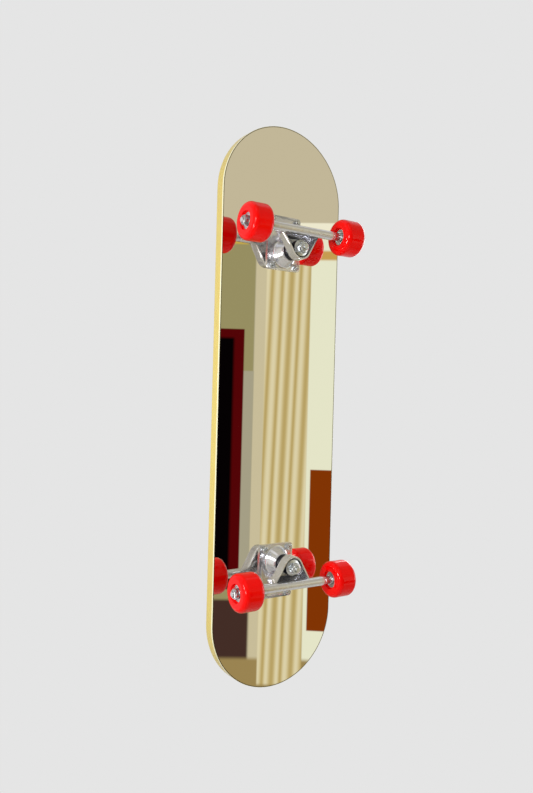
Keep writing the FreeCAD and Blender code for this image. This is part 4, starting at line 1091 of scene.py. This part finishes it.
# ---------------------------------------------------------------- bearings
# Two ball bearings in each wheel: hard ground rings with a thin pressed shield between, a
# tube that keeps them apart, and a thin washer outside each.
def bearing_steel():
    """Ground and tumbled bearing steel, with lathe rings so fine they only soften it."""
    made, tree, skin = shader("ground bearing steel", Metallic=1.0,
                              Base_Color=linear("#D5D6D8"))
    haze = patches(tree, (260, 900, 900), 3.0).outputs["Fac"]
    feed(tree, skin, Roughness=ranged(tree, haze, 0.1, 0.24))
    return made


bearing_metal = bearing_steel()


def pair_of(name, outline, steps, rounding, material):
    """The same ring at both bearings: its outline is given about the bearing's middle."""
    rings = []
    for sign in (-1, 1):
        middle = sign * (face - BEARING_WIDE / 2)
        ring = turned(name, [(r, z * sign + middle) for r, z in outline], steps)
        soften(ring, rounding, 2)
        rings.append(settle(ring, name, material, ALONG_AXLE))
    return joined(rings, name)


half_b = BEARING_WIDE / 2
outer = pair_of("outer", [(BEARING_RADIUS, -half_b), (BEARING_RADIUS, half_b), (9.3, half_b),
                          (9.1, 2.6), (9.1, 1.0), (9.6, 0.0), (9.1, -1.0), (9.1, -2.6),
                          (9.3, -half_b)], 80, 0.22, bearing_metal)
inner = pair_of("inner", [(4.0, -half_b), (6.2, -half_b), (6.2, -1.0), (5.65, 0.0),
                          (6.2, 1.0), (6.2, half_b), (4.0, half_b)], 80, 0.2,
                bearing_metal)
shield_rings = []
for end in (-1, 1):
    low = half_b - 0.7
    shield_rings.append(pair_of("shield", [(9.15, end * low), (8.3, end * (low + 0.32)),
                                           (7.3, end * (low + 0.32)), (6.65, end * low),
                                           (6.65, end * (low - 0.25)),
                                           (9.15, end * (low - 0.25))], 80, 0.08,
                                bearing_metal))
shields = joined(shield_rings, "shields")

# washers and nut, outside the bearings
washers = pair_of("washer", [(4.0, half_b), (5.6, half_b), (5.6, half_b + WASHER_THICK),
                             (4.0, half_b + WASHER_THICK)], 48, 0.15, zinc)
axle_nut = hex_nut("axle_nut", 12.7, 6.5, AXLE_RADIUS)
settle(axle_nut, "axle_nut", zinc,
       ALONG_AXLE @ Matrix.Translation((0, 0, face + WASHER_THICK)))

for truck, place in TRUCKS.items():
    for hand, sign in (("left", -1), ("right", 1)):
        name = f"{truck}_{hand}"
        centre = Matrix.Translation((sign * WHEEL_AT, FRONT - AXLE_OUT,
                                     TRUCK_UP if truck == "upper" else -TRUCK_UP))
        turn = Matrix.Rotation(math.pi if sign < 0 else 0.0, 4, "Z")
        wheel_body = "wheel_body_" + name
        hanger_body = "hanger_body_" + truck
        for piece, made_name, node, body, slot in (
                (wheel, "urethane_wheel_", "wheel_", wheel_body, "red_urethane"),
                (outer, "outer_rings_", "bearing_outers_", wheel_body, "bearing_steel"),
                (shields, "shields_", "bearing_shields_", wheel_body, "bearing_steel"),
                (inner, "inner_rings_", "bearing_inners_", hanger_body, "bearing_steel"),
                (washers, "washers_", "speed_washers_", hanger_body, "zinc_plated_steel"),
                (axle_nut, "lock_nut_", "axle_nut_", hanger_body, "zinc_plated_steel")):
            made = copy_of(piece, made_name + name, centre @ turn)
            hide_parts(node + name)
            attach(made, body)
        for node, material in (("bearing_balls_", bearing_metal), ("bearing_spacer_", zinc)):
            hidden = frame["nodes"][node + name]
            hidden.data.materials.clear()
            hidden.data.materials.append(material)
for piece in (wheel, outer, shields, inner, washers, axle_nut):
    bpy.data.objects.remove(piece)
